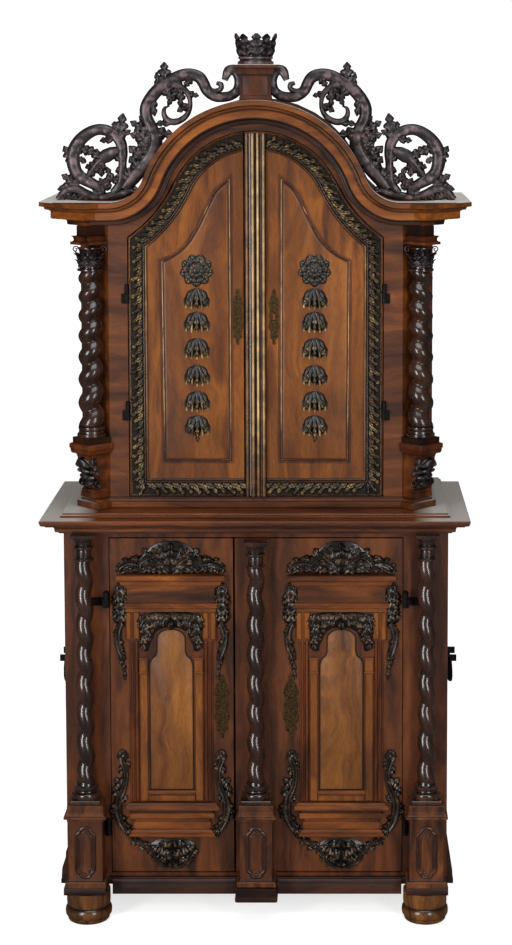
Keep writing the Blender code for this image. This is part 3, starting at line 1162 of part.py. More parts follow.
def make_crest_block():
    """The block on top of the arch, hollowed below to sit on it, and the leaf crown."""
    bottom = ARCH_CENTRE_Z + ARCH_RADIUS - OVERRUN
    height = BLOCK_HEIGHT + OVERRUN
    half = BLOCK_HALF_WIDTH
    plan = rectangle(-half, half, CREST_Y - half, CREST_Y + half)
    levels = [(0, bottom)] + levels_from(BLOCK_CAP_SHARES, BLOCK_CAP_PROJECTION, bottom, height)
    roof = case_arch(-GAP)[:3]
    seat = both_halves(roof + [(roof[-1][0], bottom - OVERRUN)])
    saddle = upright_prism(seat, BACK_Y, FRONT_Y)
    add_piece("crest_block", cut(moulded_block(plan, levels), saddle), "walnut_dark")
    foot_z = bottom + height + GAP
    sides = 2 * CROWN_POINTS

    def ring(radius, z, valley_z=None):
        points = []
        for k in range(sides):
            angle = 2 * pi * k / sides
            level = z if valley_z is None or k % 2 == 0 else valley_z
            points.append((radius * cos(angle), CREST_Y + radius * sin(angle), level))
        return points

    rings = [ring(s * CROWN_FOOT_RADIUS, foot_z + h * CROWN_HEIGHT) for s, h in CROWN_BAND_SHARES]
    top, valley = foot_z + CROWN_HEIGHT, foot_z + CROWN_VALLEY_SHARE * CROWN_HEIGHT
    middle = foot_z + CROWN_HEIGHT * 0.45
    rings.append(ring((CROWN_FOOT_RADIUS + CROWN_TOP_RADIUS) / 2 * 0.97, middle))
    rings.append(ring(CROWN_TOP_RADIUS, top, valley))
    rings.append(ring(CROWN_TOP_RADIUS - CROWN_WALL, top, valley))
    rings.append(ring(CROWN_FOOT_RADIUS * 0.7, foot_z + CROWN_HEIGHT * 0.34))
    add_piece("crown", loft(rings), "ebonised")


def make_handles():
    """An iron drop handle on each side: a plate with two ears and a hanging bail."""
    plate_x = LOWER_HALF_WIDTH + GAP
    z = LOWER_CASE_BOTTOM + HANDLE_RISE
    axis_x = plate_x + HANDLE_PLATE_THICKNESS + EAR_REACH * EAR_AXIS_SHARE
    y_mid = HANDLE_Y
    for side in (1, -1):
        name = side_name(side)
        reach = HANDLE_HALF_SPAN + HANDLE_PLATE_MARGIN
        pieces = [box((plate_x, plate_x + HANDLE_PLATE_THICKNESS), (y_mid - reach, y_mid + reach),
                      (z - HANDLE_PLATE_HALF_HEIGHT, z + HANDLE_PLATE_HALF_HEIGHT))]
        for end in (-1, 1):
            y = y_mid + end * HANDLE_HALF_SPAN
            pieces.append(box((plate_x, plate_x + HANDLE_PLATE_THICKNESS + EAR_REACH),
                              (y - EAR_THICKNESS / 2, y + EAR_THICKNESS / 2),
                              (z - EAR_HALF_HEIGHT, z + EAR_HALF_HEIGHT)))
        bore = loft([[(axis_x + (BAIL_RADIUS + BAIL_CLEARANCE) * cos(2 * pi * k / 12), y,
                       z + (BAIL_RADIUS + BAIL_CLEARANCE) * sin(2 * pi * k / 12)) for k in range(12)]
                     for y in (y_mid - 2 * reach, y_mid + 2 * reach)])
        add_piece(f"handle_plate_{name}", cut(join(*pieces), bore), "iron", side)
        pivot = add_pivot(f"bail_axis_{name}", side * axis_x, y_mid, z)
        add_piece(f"handle_bail_{name}", bail(axis_x, y_mid, z), "iron", side, pivot)


def bail(axis_x, y_mid, z):
    """A hanging bail whose ends turn in and pass through the ears."""
    outer = HANDLE_HALF_SPAN + EAR_PIN_REACH
    inner = HANDLE_HALF_SPAN - EAR_THICKNESS
    bulge = BAIL_OVERHANG
    half = [(0, inner, 0), (0, outer - BAIL_RADIUS * 2, 0), (0, outer - BAIL_RADIUS * 0.6, -BAIL_RADIUS * 0.6),
            (bulge * 0.15, outer, -BAIL_RADIUS * 2), (bulge * 0.9, outer * 0.99, -BAIL_DROP * 0.35),
            (bulge * 0.8, outer * 0.90, -BAIL_DROP * 0.70), (bulge * 0.3, outer * 0.66, -BAIL_DROP * 0.93),
            (0, outer * 0.25, -BAIL_DROP)]
    radii = [BAIL_RADIUS] * 5 + [(BAIL_RADIUS + BAIL_GRIP_RADIUS) / 2, BAIL_GRIP_RADIUS, BAIL_GRIP_RADIUS]
    radii += radii[::-1]
    path = [Vector((axis_x + x, y_mid + y, z + dz)) for x, y, dz in half]
    path += [Vector((axis_x + x, y_mid - y, z + dz)) for x, y, dz in reversed(half)]
    rings = []
    last = len(path) - 1
    normal = Vector((1, 0, 0))
    for i, point in enumerate(path):
        ahead = (path[min(i + 1, last)] - path[max(i - 1, 0)]).normalized()
        across = (normal - ahead * normal.dot(ahead)).normalized()
        up = ahead.cross(across)
        ring = []
        for k in range(BAIL_SIDES):
            angle = 2 * pi * k / BAIL_SIDES
            ring.append(point + (across * cos(angle) + up * sin(angle)) * radii[i])
        rings.append(ring)
    return loft(rings)


clear_scene()
FINISHES = {name: make_finish(name) for name in COLOURS}
make_feet()
make_plinth()
make_lower_case()
make_lower_cornice()
make_lower_supports()
make_lower_doors()
make_lower_hinges()
make_upper_case()
make_base_moulding()
make_brackets()
make_upper_columns()
make_arched_cornice()
make_upper_doors()
make_crest()
make_crest_block()
make_handles()
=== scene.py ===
# %% [markdown]
# # A two-part walnut cabinet
#
# The cabinet stands on bun feet: a lower case with two doors and twisted columns, and an
# upper case with an arched head, carved doors and an openwork crest. The measured solids
# come in first. Each later cell makes one kind of piece in finer form and lays it where
# its solid is, so doors, handles and bolts still move.

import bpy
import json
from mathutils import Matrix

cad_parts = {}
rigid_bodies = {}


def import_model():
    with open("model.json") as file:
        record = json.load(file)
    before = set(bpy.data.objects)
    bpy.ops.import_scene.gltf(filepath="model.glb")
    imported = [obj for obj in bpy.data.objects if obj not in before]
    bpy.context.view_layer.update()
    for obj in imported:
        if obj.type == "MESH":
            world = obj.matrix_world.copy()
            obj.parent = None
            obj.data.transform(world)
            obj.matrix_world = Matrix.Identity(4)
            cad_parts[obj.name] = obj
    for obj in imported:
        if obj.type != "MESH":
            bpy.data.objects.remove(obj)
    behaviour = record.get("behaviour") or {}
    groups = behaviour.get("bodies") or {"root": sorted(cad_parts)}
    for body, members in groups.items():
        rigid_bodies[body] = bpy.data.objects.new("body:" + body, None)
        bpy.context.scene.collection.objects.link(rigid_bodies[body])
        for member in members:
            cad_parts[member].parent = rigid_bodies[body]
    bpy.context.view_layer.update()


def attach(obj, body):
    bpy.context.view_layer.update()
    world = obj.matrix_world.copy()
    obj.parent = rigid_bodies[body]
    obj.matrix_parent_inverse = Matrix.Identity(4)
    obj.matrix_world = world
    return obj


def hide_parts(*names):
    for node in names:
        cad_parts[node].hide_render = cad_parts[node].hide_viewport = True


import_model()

import json
from math import atan2, cos, exp, pi, radians, sin, sqrt

import bmesh
import bpy
from mathutils import Matrix, Vector

# %% [markdown]
# ## Measures that several pieces share
#
# The case's main lines are those of the measured solids, in metres: fronts look along -Y,
# and what stands on the right is mirrored on the left. Written once, they keep columns,
# posts and mouldings in line with each other.

# %% Shared measures
SIDES = ((1, "right"), (-1, "left"))
BACK = 0.29
LOWER_FACE, UPPER_FACE = -0.190, -0.147
LOWER_HALF, UPPER_HALF = 0.541, 0.503
POST_FRONT, POST_BACK = -0.2765, -0.1904
POST_FOOT, MIDDLE_POST_FOOT = 0.1120, 0.1150
COLUMN_X, COLUMN_Y = 0.480, -0.2335
UPPER_COLUMN_X, UPPER_COLUMN_Y = 0.463, -0.150
print("lower columns at", (COLUMN_X, COLUMN_Y), "upper columns at", (UPPER_COLUMN_X, UPPER_COLUMN_Y))

# %% [markdown]
# ## The camera
#
# A tall piece of furniture is best seen from a little above its middle, with its upright
# edges kept upright. A long lens, a small downward tilt and some lens shift give that
# view, as a view camera does.

# %% Camera
CAMERA_PLACE = (0.2124, -6.1150, 2.4137)
CAMERA_TILT_DOWN = 0.1
camera_data = bpy.data.cameras.new("camera")
camera_data.sensor_fit = "VERTICAL"
camera_data.sensor_height = 36
camera_data.lens = 81.64
camera_data.shift_x = -0.0799
camera_data.shift_y = -0.2023
camera = bpy.data.objects.new("camera", camera_data)
camera.location = CAMERA_PLACE
camera.rotation_euler = (pi / 2 - CAMERA_TILT_DOWN, 0, 0)
bpy.context.scene.collection.objects.link(camera)
bpy.context.scene.camera = camera
bpy.context.scene.view_settings.view_transform = "Standard"

# %% [markdown]
# ## Small helpers for colours and materials
#
# Hex values are easy to compare with a photograph, but the shader works in linear light,
# so one function turns them round. The others each add one kind of node with its settings
# and links, which keeps each recipe short enough to read.

# %% Colour and node helpers


def tone(code):
    """Turn a hex colour such as #7A4A22 into linear light."""
    parts = [int(code[i:i + 2], 16) / 255 for i in (1, 3, 5)]
    return tuple(v / 12.92 if v <= 0.04045 else ((v + 0.055) / 1.055) ** 2.4 for v in parts) + (1.0,)


def add(tree, kind, inputs=None, **settings):
    """Add one node; an input takes a value, or a socket to link from."""
    made = tree.nodes.new(kind)
    for key, value in settings.items():
        setattr(made, key, value)
    for key, value in (inputs or {}).items():
        if isinstance(value, bpy.types.NodeSocket):
            tree.links.new(value, made.inputs[key])
        else:
            made.inputs[key].default_value = value
    return made


def calc(tree, operation, *values):
    """One step of arithmetic with numbers or sockets."""
    return add(tree, "ShaderNodeMath", dict(enumerate(values)), operation=operation).outputs[0]


def remap(tree, value, low, high, to_low=0.0, to_high=1.0):
    """Carry the range from low to high onto another range."""
    return add(tree, "ShaderNodeMapRange", {"Value": value, "From Min": low, "From Max": high, "To Min": to_low,
                                            "To Max": to_high}).outputs["Result"]


def noise(tree, place, scale, detail, **more):
    """Soft noise with about so many spots to the metre."""
    made = add(tree, "ShaderNodeTexNoise", {"Vector": place, "Scale": scale, "Detail": detail})
    for key, value in more.items():
        made.inputs[key.title()].default_value = value
    return made.outputs["Fac"]


def mix(tree, share, first, second):
    """Mix two colours."""
    return add(tree, "ShaderNodeMix", {0: share, 6: first, 7: second}, data_type="RGBA").outputs[2]


def axis(tree, vector, letter):
    """One of a vector's three numbers."""
    return add(tree, "ShaderNodeSeparateXYZ", {"Vector": vector}).outputs[letter]


def ramp(tree, value, stops):
    """Turn a value into a colour by (place, hex) stops."""
    made = add(tree, "ShaderNodeValToRGB", {"Fac": value})
    elements = made.color_ramp.elements
    while len(elements) < len(stops):
        elements.new(0.5)
    for element, (place, code) in zip(elements, stops):
        element.position = place
        element.color = tone(code)
    return made.outputs["Color"]


def scaled(tree, colour, share):
    """A colour made darker or lighter by a share."""
    return add(tree, "ShaderNodeVectorMath", {0: colour, "Scale": share}, operation="SCALE").outputs[0]


def roughen(tree, shader, height, strength, distance):
    """Give a surface fine bumps."""
    bump = add(tree, "ShaderNodeBump", {"Height": height, "Strength": strength, "Distance": distance})
    tree.links.new(bump.outputs["Normal"], shader.inputs["Normal"])


def blank(name):
    """A material with only its Principled shader and output, and places on the object."""
    material = bpy.data.materials.new(name)
    material.use_nodes = True
    tree = material.node_tree
    return material, tree, tree.nodes["Principled BSDF"], add(tree, "ShaderNodeTexCoord").outputs["Object"]


# %% [markdown]
# ## Walnut
#
# European walnut is a warm brown with darker bands a few centimetres apart and fine pores
# along the grain. The recipe stretches noise along the grain: a broad one for the bands,
# which also bends them, and a fine one for the pores, about a millimetre wide and drawn a
# little coarse so that it shows. Old wax gives a soft sheen, duller where the pores are. The
# corners of mouldings are painted darker as shade; each mesh stores how much in an attribute.
# Dust lies on level tops at the cabinet's ends, and the roof's level tops are painted near white.

# %% Walnut recipe
GRAIN_STRETCH = {"up": (1.0, 1.0, 0.12), "across": (0.12, 1.0, 1.0)}
PORES_PER_METRE = 520.0
PAINTED_CORNER_SHADE = 0.85
ROOF_SLOPE, ROOF_FROM_Y = 0.3, -0.20
DUST_FROM_X, DUST_FULL_X = 0.44, 0.50


def walnut(name, colours, grain="up", band_mm=45, roughness=0.34, figure=0.35, dust=0.0, coat=0.07,
           roof_from=None):
    """Waxed walnut: colours run from dark bands to light ones; above roof_from tops are pale."""
    material, tree, shader, place = blank(name)
    along = add(tree, "ShaderNodeMapping", {"Vector": place, "Scale": GRAIN_STRETCH[grain]}).outputs["Vector"]
    bend = add(tree, "ShaderNodeTexNoise", {"Vector": place, "Scale": 5.0, "Detail": 2.0}).outputs["Color"]
    warped = add(tree, "ShaderNodeMix", {0: figure * 0.12, 4: along, 5: bend}, data_type="VECTOR").outputs[1]
    bands = noise(tree, warped, 1000 / band_mm, 5.0, roughness=0.62, distortion=figure * 2.0)
    pores = noise(tree, along, PORES_PER_METRE, 2.0)
    wood = ramp(tree, bands, [(0.28 + 0.44 * i / (len(colours) - 1), code) for i, code in enumerate(colours)])
    patches = remap(tree, noise(tree, place, 3.1, 3.0), 0.3, 0.7, 0.72, 1.16)
    flecks = remap(tree, pores, 0.32, 0.55, 0.70, 1.0)
    # Painted shade: a per-point attribute darkens the corners of mouldings, as shade would fall there.
    dirt = add(tree, "ShaderNodeAttribute", attribute_name="dirt").outputs["Fac"]
    unshaded = calc(tree, "MULTIPLY_ADD", dirt, -PAINTED_CORNER_SHADE, 1.0)
    light = calc(tree, "MULTIPLY", calc(tree, "MULTIPLY", patches, flecks), unshaded)
    colour = scaled(tree, wood, light)
    if roof_from or dust:
        rise = axis(tree, add(tree, "ShaderNodeNewGeometry").outputs["Normal"], "Z")
    # Level tops high on the roof, behind the front, are painted near white.
    if roof_from:
        high = calc(tree, "GREATER_THAN", axis(tree, place, "Z"), roof_from)
        top = calc(tree, "GREATER_THAN", rise, ROOF_SLOPE)
        behind = calc(tree, "GREATER_THAN", axis(tree, place, "Y"), ROOF_FROM_Y)
        pale = calc(tree, "MULTIPLY", calc(tree, "MULTIPLY", high, top), behind)
        colour = mix(tree, pale, colour, tone("#F2EEE6"))
    if dust:
        settled = remap(tree, rise, 0.75, 0.97, 0.0, dust)
        aside = remap(tree, calc(tree, "ABSOLUTE", axis(tree, place, "X")), DUST_FROM_X, DUST_FULL_X)
        colour = mix(tree, calc(tree, "MULTIPLY", settled, aside), colour, tone("#C2BCB4"))
    tree.links.new(colour, shader.inputs["Base Color"])
    tree.links.new(remap(tree, pores, 0.0, 1.0, roughness + 0.14, roughness - 0.06), shader.inputs["Roughness"])
    roughen(tree, shader, light, 0.12, 0.0006)
    shader.inputs["IOR"].default_value = 1.5
    shader.inputs["Coat Weight"].default_value = coat
    shader.inputs["Coat Roughness"].default_value = 0.22
    return material


# %% [markdown]
# ## Carved wood, iron and brass
#
# The carving was darkened. Its high edges are painted olive gold as highlights and its hollows
# nearly black as shade. Each carved mesh stores how high a point stands in an attribute called
# relief, and the recipe turns that into colour. Forged iron and old cast brass are dull
# metals with spots of tarnish, which change both their colour and their shine.

# %% Carved wood and metal recipes


def carved(name, stops, roughness=0.36, scatter=0.9):
    """Carved wood with painted shade in its hollows and painted highlights on its edges, made uneven by random noise
    of a given strength.
    """
    material, tree, shader, place = blank(name)
    height = add(tree, "ShaderNodeAttribute", attribute_name="relief").outputs["Fac"]
    random_shift = calc(tree, "MULTIPLY_ADD", noise(tree, place, 55.0, 4.0), scatter, -scatter / 2)
    level = add(tree, "ShaderNodeMath", {0: height, 1: random_shift}, operation="ADD", use_clamp=True).outputs[0]
    patches = remap(tree, noise(tree, place, 24.0, 3.0), 0.35, 0.65, 0.55, 1.35)
    tree.links.new(scaled(tree, ramp(tree, level, stops), patches), shader.inputs["Base Color"])
    roughen(tree, shader, noise(tree, place, 260.0, 2.0), 0.25, 0.0008)
    shader.inputs["Roughness"].default_value = roughness
    shader.inputs["Coat Weight"].default_value = 0.3
    shader.inputs["Coat Roughness"].default_value = 0.25
    return material


def metal(name, light, dark, roughness, metallic):
    """Hand-forged or cast metal with uneven tarnish."""
    material, tree, shader, place = blank(name)
    spots = noise(tree, place, 160.0, 5.0, roughness=0.7)
    tree.links.new(ramp(tree, spots, [(0.35, dark), (0.68, light)]), shader.inputs["Base Color"])
    tree.links.new(remap(tree, spots, 0.0, 1.0, roughness + 0.2, roughness - 0.12), shader.inputs["Roughness"])
    roughen(tree, shader, spots, 0.4, 0.0006)
    shader.inputs["Metallic"].default_value = metallic
    return material


# %% [markdown]
# ## The finishes of this cabinet
#
# All of it is walnut, but from different logs and at different depths of stain: orange on
# doors and bandings, brown on frames, nearly black on the columns, which are also polished
# hard, so that they show small bright lights. Inside, the wood is bare pine.

# %% Finishes
DOOR_WALNUT = walnut("orange_walnut_veneer", ["#462004", "#683607", "#83470A", "#985910"], figure=0.4)
PANEL_WALNUT = walnut("figured_walnut_panel", ["#462005", "#683508", "#81470C", "#935611"], band_mm=70, figure=0.6)
CASE_WALNUT = walnut("dark_walnut_frame", ["#2A1104", "#4A2007", "#66300A", "#7A400E"])
ROOF_WALNUT = walnut("case_side_and_dusty_roof", ["#290F04", "#502008", "#77340E", "#944815"], figure=0.5,
                     roof_from=2.03)
CROWN_WALNUT = walnut("cornice_crown_walnut", ["#351706", "#5B300B", "#7A400E", "#925216"], grain="across",
                      figure=0.3, roof_from=2.03)
FRAME_WALNUT = walnut("brown_walnut_frame", ["#2C1204", "#4E2508", "#6A350C", "#7E4411"], figure=0.4)
BURR_WALNUT = walnut("arched_field_veneer", ["#472306", "#6E3C0C", "#854E11", "#985D17"], band_mm=80, figure=0.7,
                     roughness=0.46, coat=0.0)
MOULDING_WALNUT = walnut("walnut_moulding", ["#2B1106", "#4E250A", "#6A360F", "#834819"], grain="across",
                         figure=0.3, dust=0.7)
DUSTY_TOP = walnut("dusty_step_board", ["#2E1206", "#52260B", "#6F370F", "#8A4919"], grain="across", figure=0.3,
                   dust=1.0)
PORTAL_WALNUT = walnut("portal_walnut", ["#361605", "#633109", "#85440E", "#A15C17"], grain="across", figure=0.3)
BAND_WALNUT = walnut("orange_cross_banding", ["#572908", "#81420C", "#9C5713", "#B16A19"], grain="across", figure=0.3)
DARK_MOULDING = walnut("dark_walnut_moulding", ["#180904", "#2C1107", "#411D09", "#542B0F"], grain="across",
                       figure=0.3)
EBONISED = walnut("dark_polished_columns", ["#140A07", "#24120B", "#3A2013", "#50301E"], roughness=0.22, coat=1.0)
# Painted shade: black for the strip under the leaf bands and the grooves round the arched fields.
BLACK_GROUND = walnut("blackened_ground", ["#080503", "#120B07", "#1C120B", "#281A10"], roughness=0.75, coat=0.0)
FOOT_WALNUT = walnut("foot_walnut", ["#321A09", "#56310E", "#774716", "#945B1E"], figure=0.8, roughness=0.24,
                     coat=0.7)
PEDESTAL_WALNUT = walnut("pedestal_walnut", ["#291206", "#4C240A", "#6C370F", "#844A16"], figure=0.6)
INSIDE_WOOD = walnut("bare_inside_pine", ["#7A5C3A", "#94744C", "#A6875C", "#B6986C"], roughness=0.7, coat=0.0)
# Beads and reeds take painted highlights: bright colour where the tall lamps would shine on them.
HIGHLIGHT_REEDS = carved("rubbed_bright_reeds", [(0.06, "#1E0F06"), (0.22, "#4A2A10"), (0.50, "#6C4A22"),
                                              (0.80, "#AE9360"), (0.97, "#D8C498")], 0.26, scatter=0.20)
# The carving finishes paint shade in the hollows and highlights on the high edges, from relief.
CARVED_OLIVE = carved("rubbed_carving", [(0.20, "#090603"), (0.58, "#1F160B"), (0.86, "#45341C"), (1.0, "#98804E")],
                      0.38)
CARVED_PORTAL = carved("portal_carving", [(0.15, "#060403"), (0.58, "#150D09"), (0.84, "#34251A"), (1.0, "#76624A")],
                       0.30)
CARVED_DARK = carved("dark_carving", [(0.15, "#080506"), (0.55, "#180F10"), (0.84, "#2C1C1C"), (1.0, "#5E4640")],
                     0.44)
CARVED_CREST = carved("crest_carving", [(0.12, "#080506"), (0.52, "#171013"), (0.82, "#2C1F22"), (1.0, "#665352")],
                      0.40)
IRON = metal("black_forged_iron", "#2A2624", "#0C0B0B", 0.5, 0.8)
BRASS = metal("tarnished_brass", "#6E5430", "#1A120A", 0.42, 0.8)
print("finishes:", len(bpy.data.materials))

# %% [markdown]
# ## Floor, backdrop and light
#
# The floor runs up into a backdrop in one curve, so no corner shows, and the backdrop
# stands well behind the cabinet, so that it is free to be seen from behind too. Two tall
# soft boxes in front, left and right, put a pair of lights on every turn of the columns,
# one above lights the tops, and the world fills the rest. Paper and world look white by
# themselves and dim in reflections, so that dark polish stays dark.

# %% Floor and lights
FLOOR_REACH = 40.0
BACKDROP_Y, BACKDROP_BEND, BACKDROP_TOP, BEND_STEPS = 8.0, 2.0, 14.0, 16
PAPER_GLOW, SKY_LIGHT, SKY_SEEN, SKY_IN_GLOSS = 0.68, 0.42, 0.70, -0.34


def build_stage():
    """A pale floor that bends up into a backdrop."""
    rows = [(-FLOOR_REACH, 0.0), (BACKDROP_Y, 0.0)]
    for i in range(1, BEND_STEPS + 1):
        turn = pi / 2 * i / BEND_STEPS
        rows.append((BACKDROP_Y + BACKDROP_BEND * sin(turn), BACKDROP_BEND - BACKDROP_BEND * cos(turn)))
    rows += [(BACKDROP_Y + BACKDROP_BEND, BACKDROP_TOP)]
    mesh = bpy.data.meshes.new("studio_floor")
    verts = [(x, y, z) for y, z in rows for x in (-FLOOR_REACH, FLOOR_REACH)]
    mesh.from_pydata(verts, [], [(2 * i, 2 * i + 1, 2 * i + 3, 2 * i + 2) for i in range(len(rows) - 1)])
    mesh.shade_smooth()
    floor_object = bpy.data.objects.new("studio_floor", mesh)
    bpy.context.scene.collection.objects.link(floor_object)
    material, tree, shader, _ = blank("studio_paper")
    shader.inputs["Roughness"].default_value = 0.8
    seen = add(tree, "ShaderNodeLightPath").outputs
    tree.links.new(mix(tree, seen["Is Glossy Ray"], tone("#F3F2F0"), tone("#5C5A58")), shader.inputs["Base Color"])
    shader.inputs["Emission Color"].default_value = (1, 1, 1, 1)
    tree.links.new(calc(tree, "MULTIPLY", seen["Is Camera Ray"], PAPER_GLOW), shader.inputs["Emission Strength"])
    mesh.materials.append(material)


def build_world():
    """Even white light from all round."""
    world = bpy.data.worlds.new("studio")
    bpy.context.scene.world = world
    world.use_nodes = True
    tree = world.node_tree
    sky = tree.nodes["Background"]
    sky.inputs["Color"].default_value = tone("#F4F4F6")
    seen = add(tree, "ShaderNodeLightPath").outputs
    plain = calc(tree, "MULTIPLY_ADD", seen["Is Camera Ray"], SKY_SEEN, SKY_LIGHT)
    tree.links.new(calc(tree, "MULTIPLY_ADD", seen["Is Glossy Ray"], SKY_IN_GLOSS, plain), sky.inputs["Strength"])


def soft_box(name, place, target, size, power):
    """A rectangular lamp that faces a point; its size is width and height."""
    lamp = bpy.data.lights.new(name, "AREA")
    lamp.shape = "RECTANGLE"
    lamp.size, lamp.size_y = size
    lamp.energy = power
    holder = bpy.data.objects.new(name, lamp)
    holder.location = place
    holder.rotation_euler = (Vector(target) - Vector(place)).to_track_quat("-Z", "Y").to_euler()
    bpy.context.scene.collection.objects.link(holder)


build_stage()
build_world()
soft_box("left_box", (-2.7, -4.2, 1.9), (0, 0, 1.3), (0.9, 3.2), 108)
soft_box("right_box", (2.3, -4.6, 2.0), (0, 0, 1.3), (0.7, 3.2), 74)
soft_box("top_box", (0.3, -1.8, 5.2), (0, 0, 1.0), (3.2, 2.4), 66)
print("lamps:", [lamp.name for lamp in bpy.data.lights])

# %% [markdown]
# ## Mesh helpers
#
# A part is a list of points, a list of faces and a relief value for each point. Most
# pieces of a cabinet are one section carried along a line, or one outline drawn in and
# out at several levels, so a single function that skins a row of rings makes them all.

# %% Mesh helpers
MADE_SHARP, GROWN_SHARP = 38, 45
CURVE_STEPS = 8
LONG_FLAT, CORNER_REACH = 0.03, 0.012


def skin(rings, loop=False, relief=None):
    """Skin rings of equally many points; the ends are closed unless the row is a loop."""
    count = len(rings[0])
    verts = [tuple(point) for ring in rings for point in ring]
    faces = []
    for r in range(len(rings) if loop else len(rings) - 1):
        a, b = r * count, (r + 1) % len(rings) * count
        faces += [(a + i, a + (i + 1) % count, b + (i + 1) % count, b + i) for i in range(count)]
    if not loop:
        faces += [tuple(reversed(range(count))), tuple(range(len(verts) - count, len(verts)))]
    return verts, faces, relief or [1.0] * len(verts)


def placed(part, matrix):
    """The same part, moved by a matrix."""
    return [tuple(matrix @ Vector(v)) for v in part[0]], part[1], part[2]


def mirrored(parts, middle=0.0):
    """The same parts on the other side of an upright middle line."""
    return [([(2 * middle - x, y, z) for x, y, z in v], [tuple(reversed(f)) for f in faces], r)
            for v, faces, r in parts]


def on_side(side, parts):
    """Parts made for the right side, mirrored where they are wanted on the left."""
    return parts if side > 0 else mirrored(parts)


def store(mesh, name, values):
    """Keep one number for each point of a mesh, for the finishes to read."""
    mesh.attributes.new(name, "FLOAT", "POINT").data.foreach_set("value", values)


def put_in_scene(mesh, body, stands_for, sharp):
    """Shade a finished mesh and say what it rides on and which solids it stands for."""
    mesh.shade_smooth()
    mesh.set_sharp_from_angle(angle=radians(sharp))
    piece = bpy.data.objects.new(mesh.name, mesh)
    bpy.context.scene.collection.objects.link(piece)
    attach(piece, body)
    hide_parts(*stands_for)


def lay(name, parts, finish, body, stands_for):
    """Make one object of several parts, and let it ride on a body."""
    mesh = bpy.data.meshes.new(name)
    verts, faces, relief = [], [], []
    for v, f, r in parts:
        faces += [tuple(i + len(verts) for i in face) for face in f]
        verts += v
        relief += r
    mesh.from_pydata(verts, [], faces)
    store(mesh, "relief", relief)
    # Painted shade: the lower a point's relief, the darker the walnut finish paints it.
    store(mesh, "dirt", [1 - r for r in relief])
    work = bmesh.new()
    work.from_mesh(mesh)
    bmesh.ops.recalc_face_normals(work, faces=work.faces)
    work.to_mesh(mesh)
    work.free()
    mesh.materials.append(finish)
    put_in_scene(mesh, body, stands_for, MADE_SHARP)


def profile(start, *moves):
    """A moulding's section of (out, up) points: a plain pair runs straight to its point.

    A swell goes out first and then up, and a hollow up first and then out.
    """
    points = [start]
    for *kind, p, h in moves:
        p0, h0 = points[-1]
        if not kind:
            points.append((p, h))
            continue
        corner = (p, h0) if kind == ["swell"] else (p0, h)
        for i in range(1, CURVE_STEPS + 1):
            t = i / CURVE_STEPS
            points.append(((1 - t) ** 2 * p0 + 2 * t * (1 - t) * corner[0] + t * t * p,
                           (1 - t) ** 2 * h0 + 2 * t * (1 - t) * corner[1] + t * t * h))
    return points


def offset_line(line, distances, closed=True):
    """Move each edge of a line to its right by its own distance, with mitred corners."""
    count = len(line)
    result = []
    for i in range(count):
        here = Vector(line[i])
        first = here - Vector(line[i - 1]) if closed or i else Vector(line[1]) - here
        second = Vector(line[(i + 1) % count]) - here if closed or i < count - 1 else first
        first, second = first.normalized(), second.normalized()
        a, b = distances[i - 1] if closed or i else distances[0], distances[i if i < len(distances) else -1]
        na, nb = Vector((first.y, -first.x)), Vector((second.y, -second.x))
        spread = na.x * nb.y - na.y * nb.x
        if abs(spread) < 0.02:
            result.append(here + (na * a + nb * b) / 2)
            continue
        result.append(here + Vector((a * nb.y - b * na.y, b * na.x - a * nb.x)) / spread)
    return result


def stepped(levels):
    """The levels of a moulding, with two more in each long flat so that the painted shade stays in the corners."""
    fuller = [levels[0]]
    for (a, p), (b, q) in zip(levels, levels[1:]):
        if abs(q - p) > LONG_FLAT:
            share = CORNER_REACH / abs(q - p)
            fuller += [(a + (b - a) * s, p + (q - p) * s) for s in (share, 1 - share)]
        fuller.append((b, q))
    return fuller


def unshaded_share(heights, reach=0.005):
    """How much of each level escapes the painted corner shade: 1 where it stands proud, less beside a prouder one."""
    return [1 - 0.9 * min(1.0, (max(heights[max(0, k - 2):k + 3]) - h) / reach) for k, h in enumerate(heights)]


def moulded(plan, levels, flush=()):
    """Stack an anticlockwise plan at (offset, z) levels; flush edges keep their place."""
    rings, levels = [], stepped(levels)
    for offset, z in levels:
        line = offset_line(plan, [0 if i in flush else offset for i in range(len(plan))])
        rings.append([(x, y, z) for x, y in line])
    unshaded = unshaded_share([offset for offset, _ in levels])
    return skin(rings, relief=[share for share in unshaded for _ in plan])


def layered(outline, levels):
    """Stack an anticlockwise outline of (x, z) points at (inset, y) levels, front last."""
    rings = [[(x, y, z) for x, z in offset_line(outline, [-inset] * len(outline))] for inset, y in levels]
    unshaded = unshaded_share([-y for _, y in levels])
    return skin(rings, relief=[share for share in unshaded for _ in outline])


def block_plan(x_low, x_high, y_low, y_high):
    """A rectangle's corners, anticlockwise from the front left one; edge 2 is the back."""
    return [(x_low, y_low), (x_high, y_low), (x_high, y_high), (x_low, y_high)]


def box(x, y, half, z_low, z_high, bevel):
    """A square block round a point, bevelled round its top and its bottom."""
    plan = block_plan(x - half, x + half, y - half, y + half)
    return moulded(plan, [(-bevel, z_low), (0, z_low + bevel), (0, z_high - bevel), (-bevel, z_high)])


def turned(section, x, y, segments=48):
    """Turn a section of (radius, z) points round an upright axis."""
    angles = [2 * pi * k / segments for k in range(segments)]
    relief = [c for c in unshaded_share([r for r, _ in section], 0.003) for _ in angles]
    return skin([[(x + r * cos(a), y + r * sin(a), z) for a in angles] for r, z in section], relief=relief)


print("a block's faces:", len(box(0, 0, 1, 0, 1, 0.01)[1]))

# %% [markdown]
# ## Twisted columns
#
# A barley-sugar shaft is one strand wound round an axis: at every height the section is
# the same rounded shape, only turned further. That rule suits Geometry Nodes. A flat grid
# is rolled up: one side gives the angle, the other the height, and the radius follows from
# the angle plus the twist. The turns of the upper columns get closer towards the top.

# %% Tree for a twisted shaft
SHAFT_GRID = (57, 300)
RIDGE_SHARPNESS = 1.05
GROOVE_BEAD_SHARPNESS, GROOVE_BEAD = 24.0, 0.16
SEAM = 0.00002


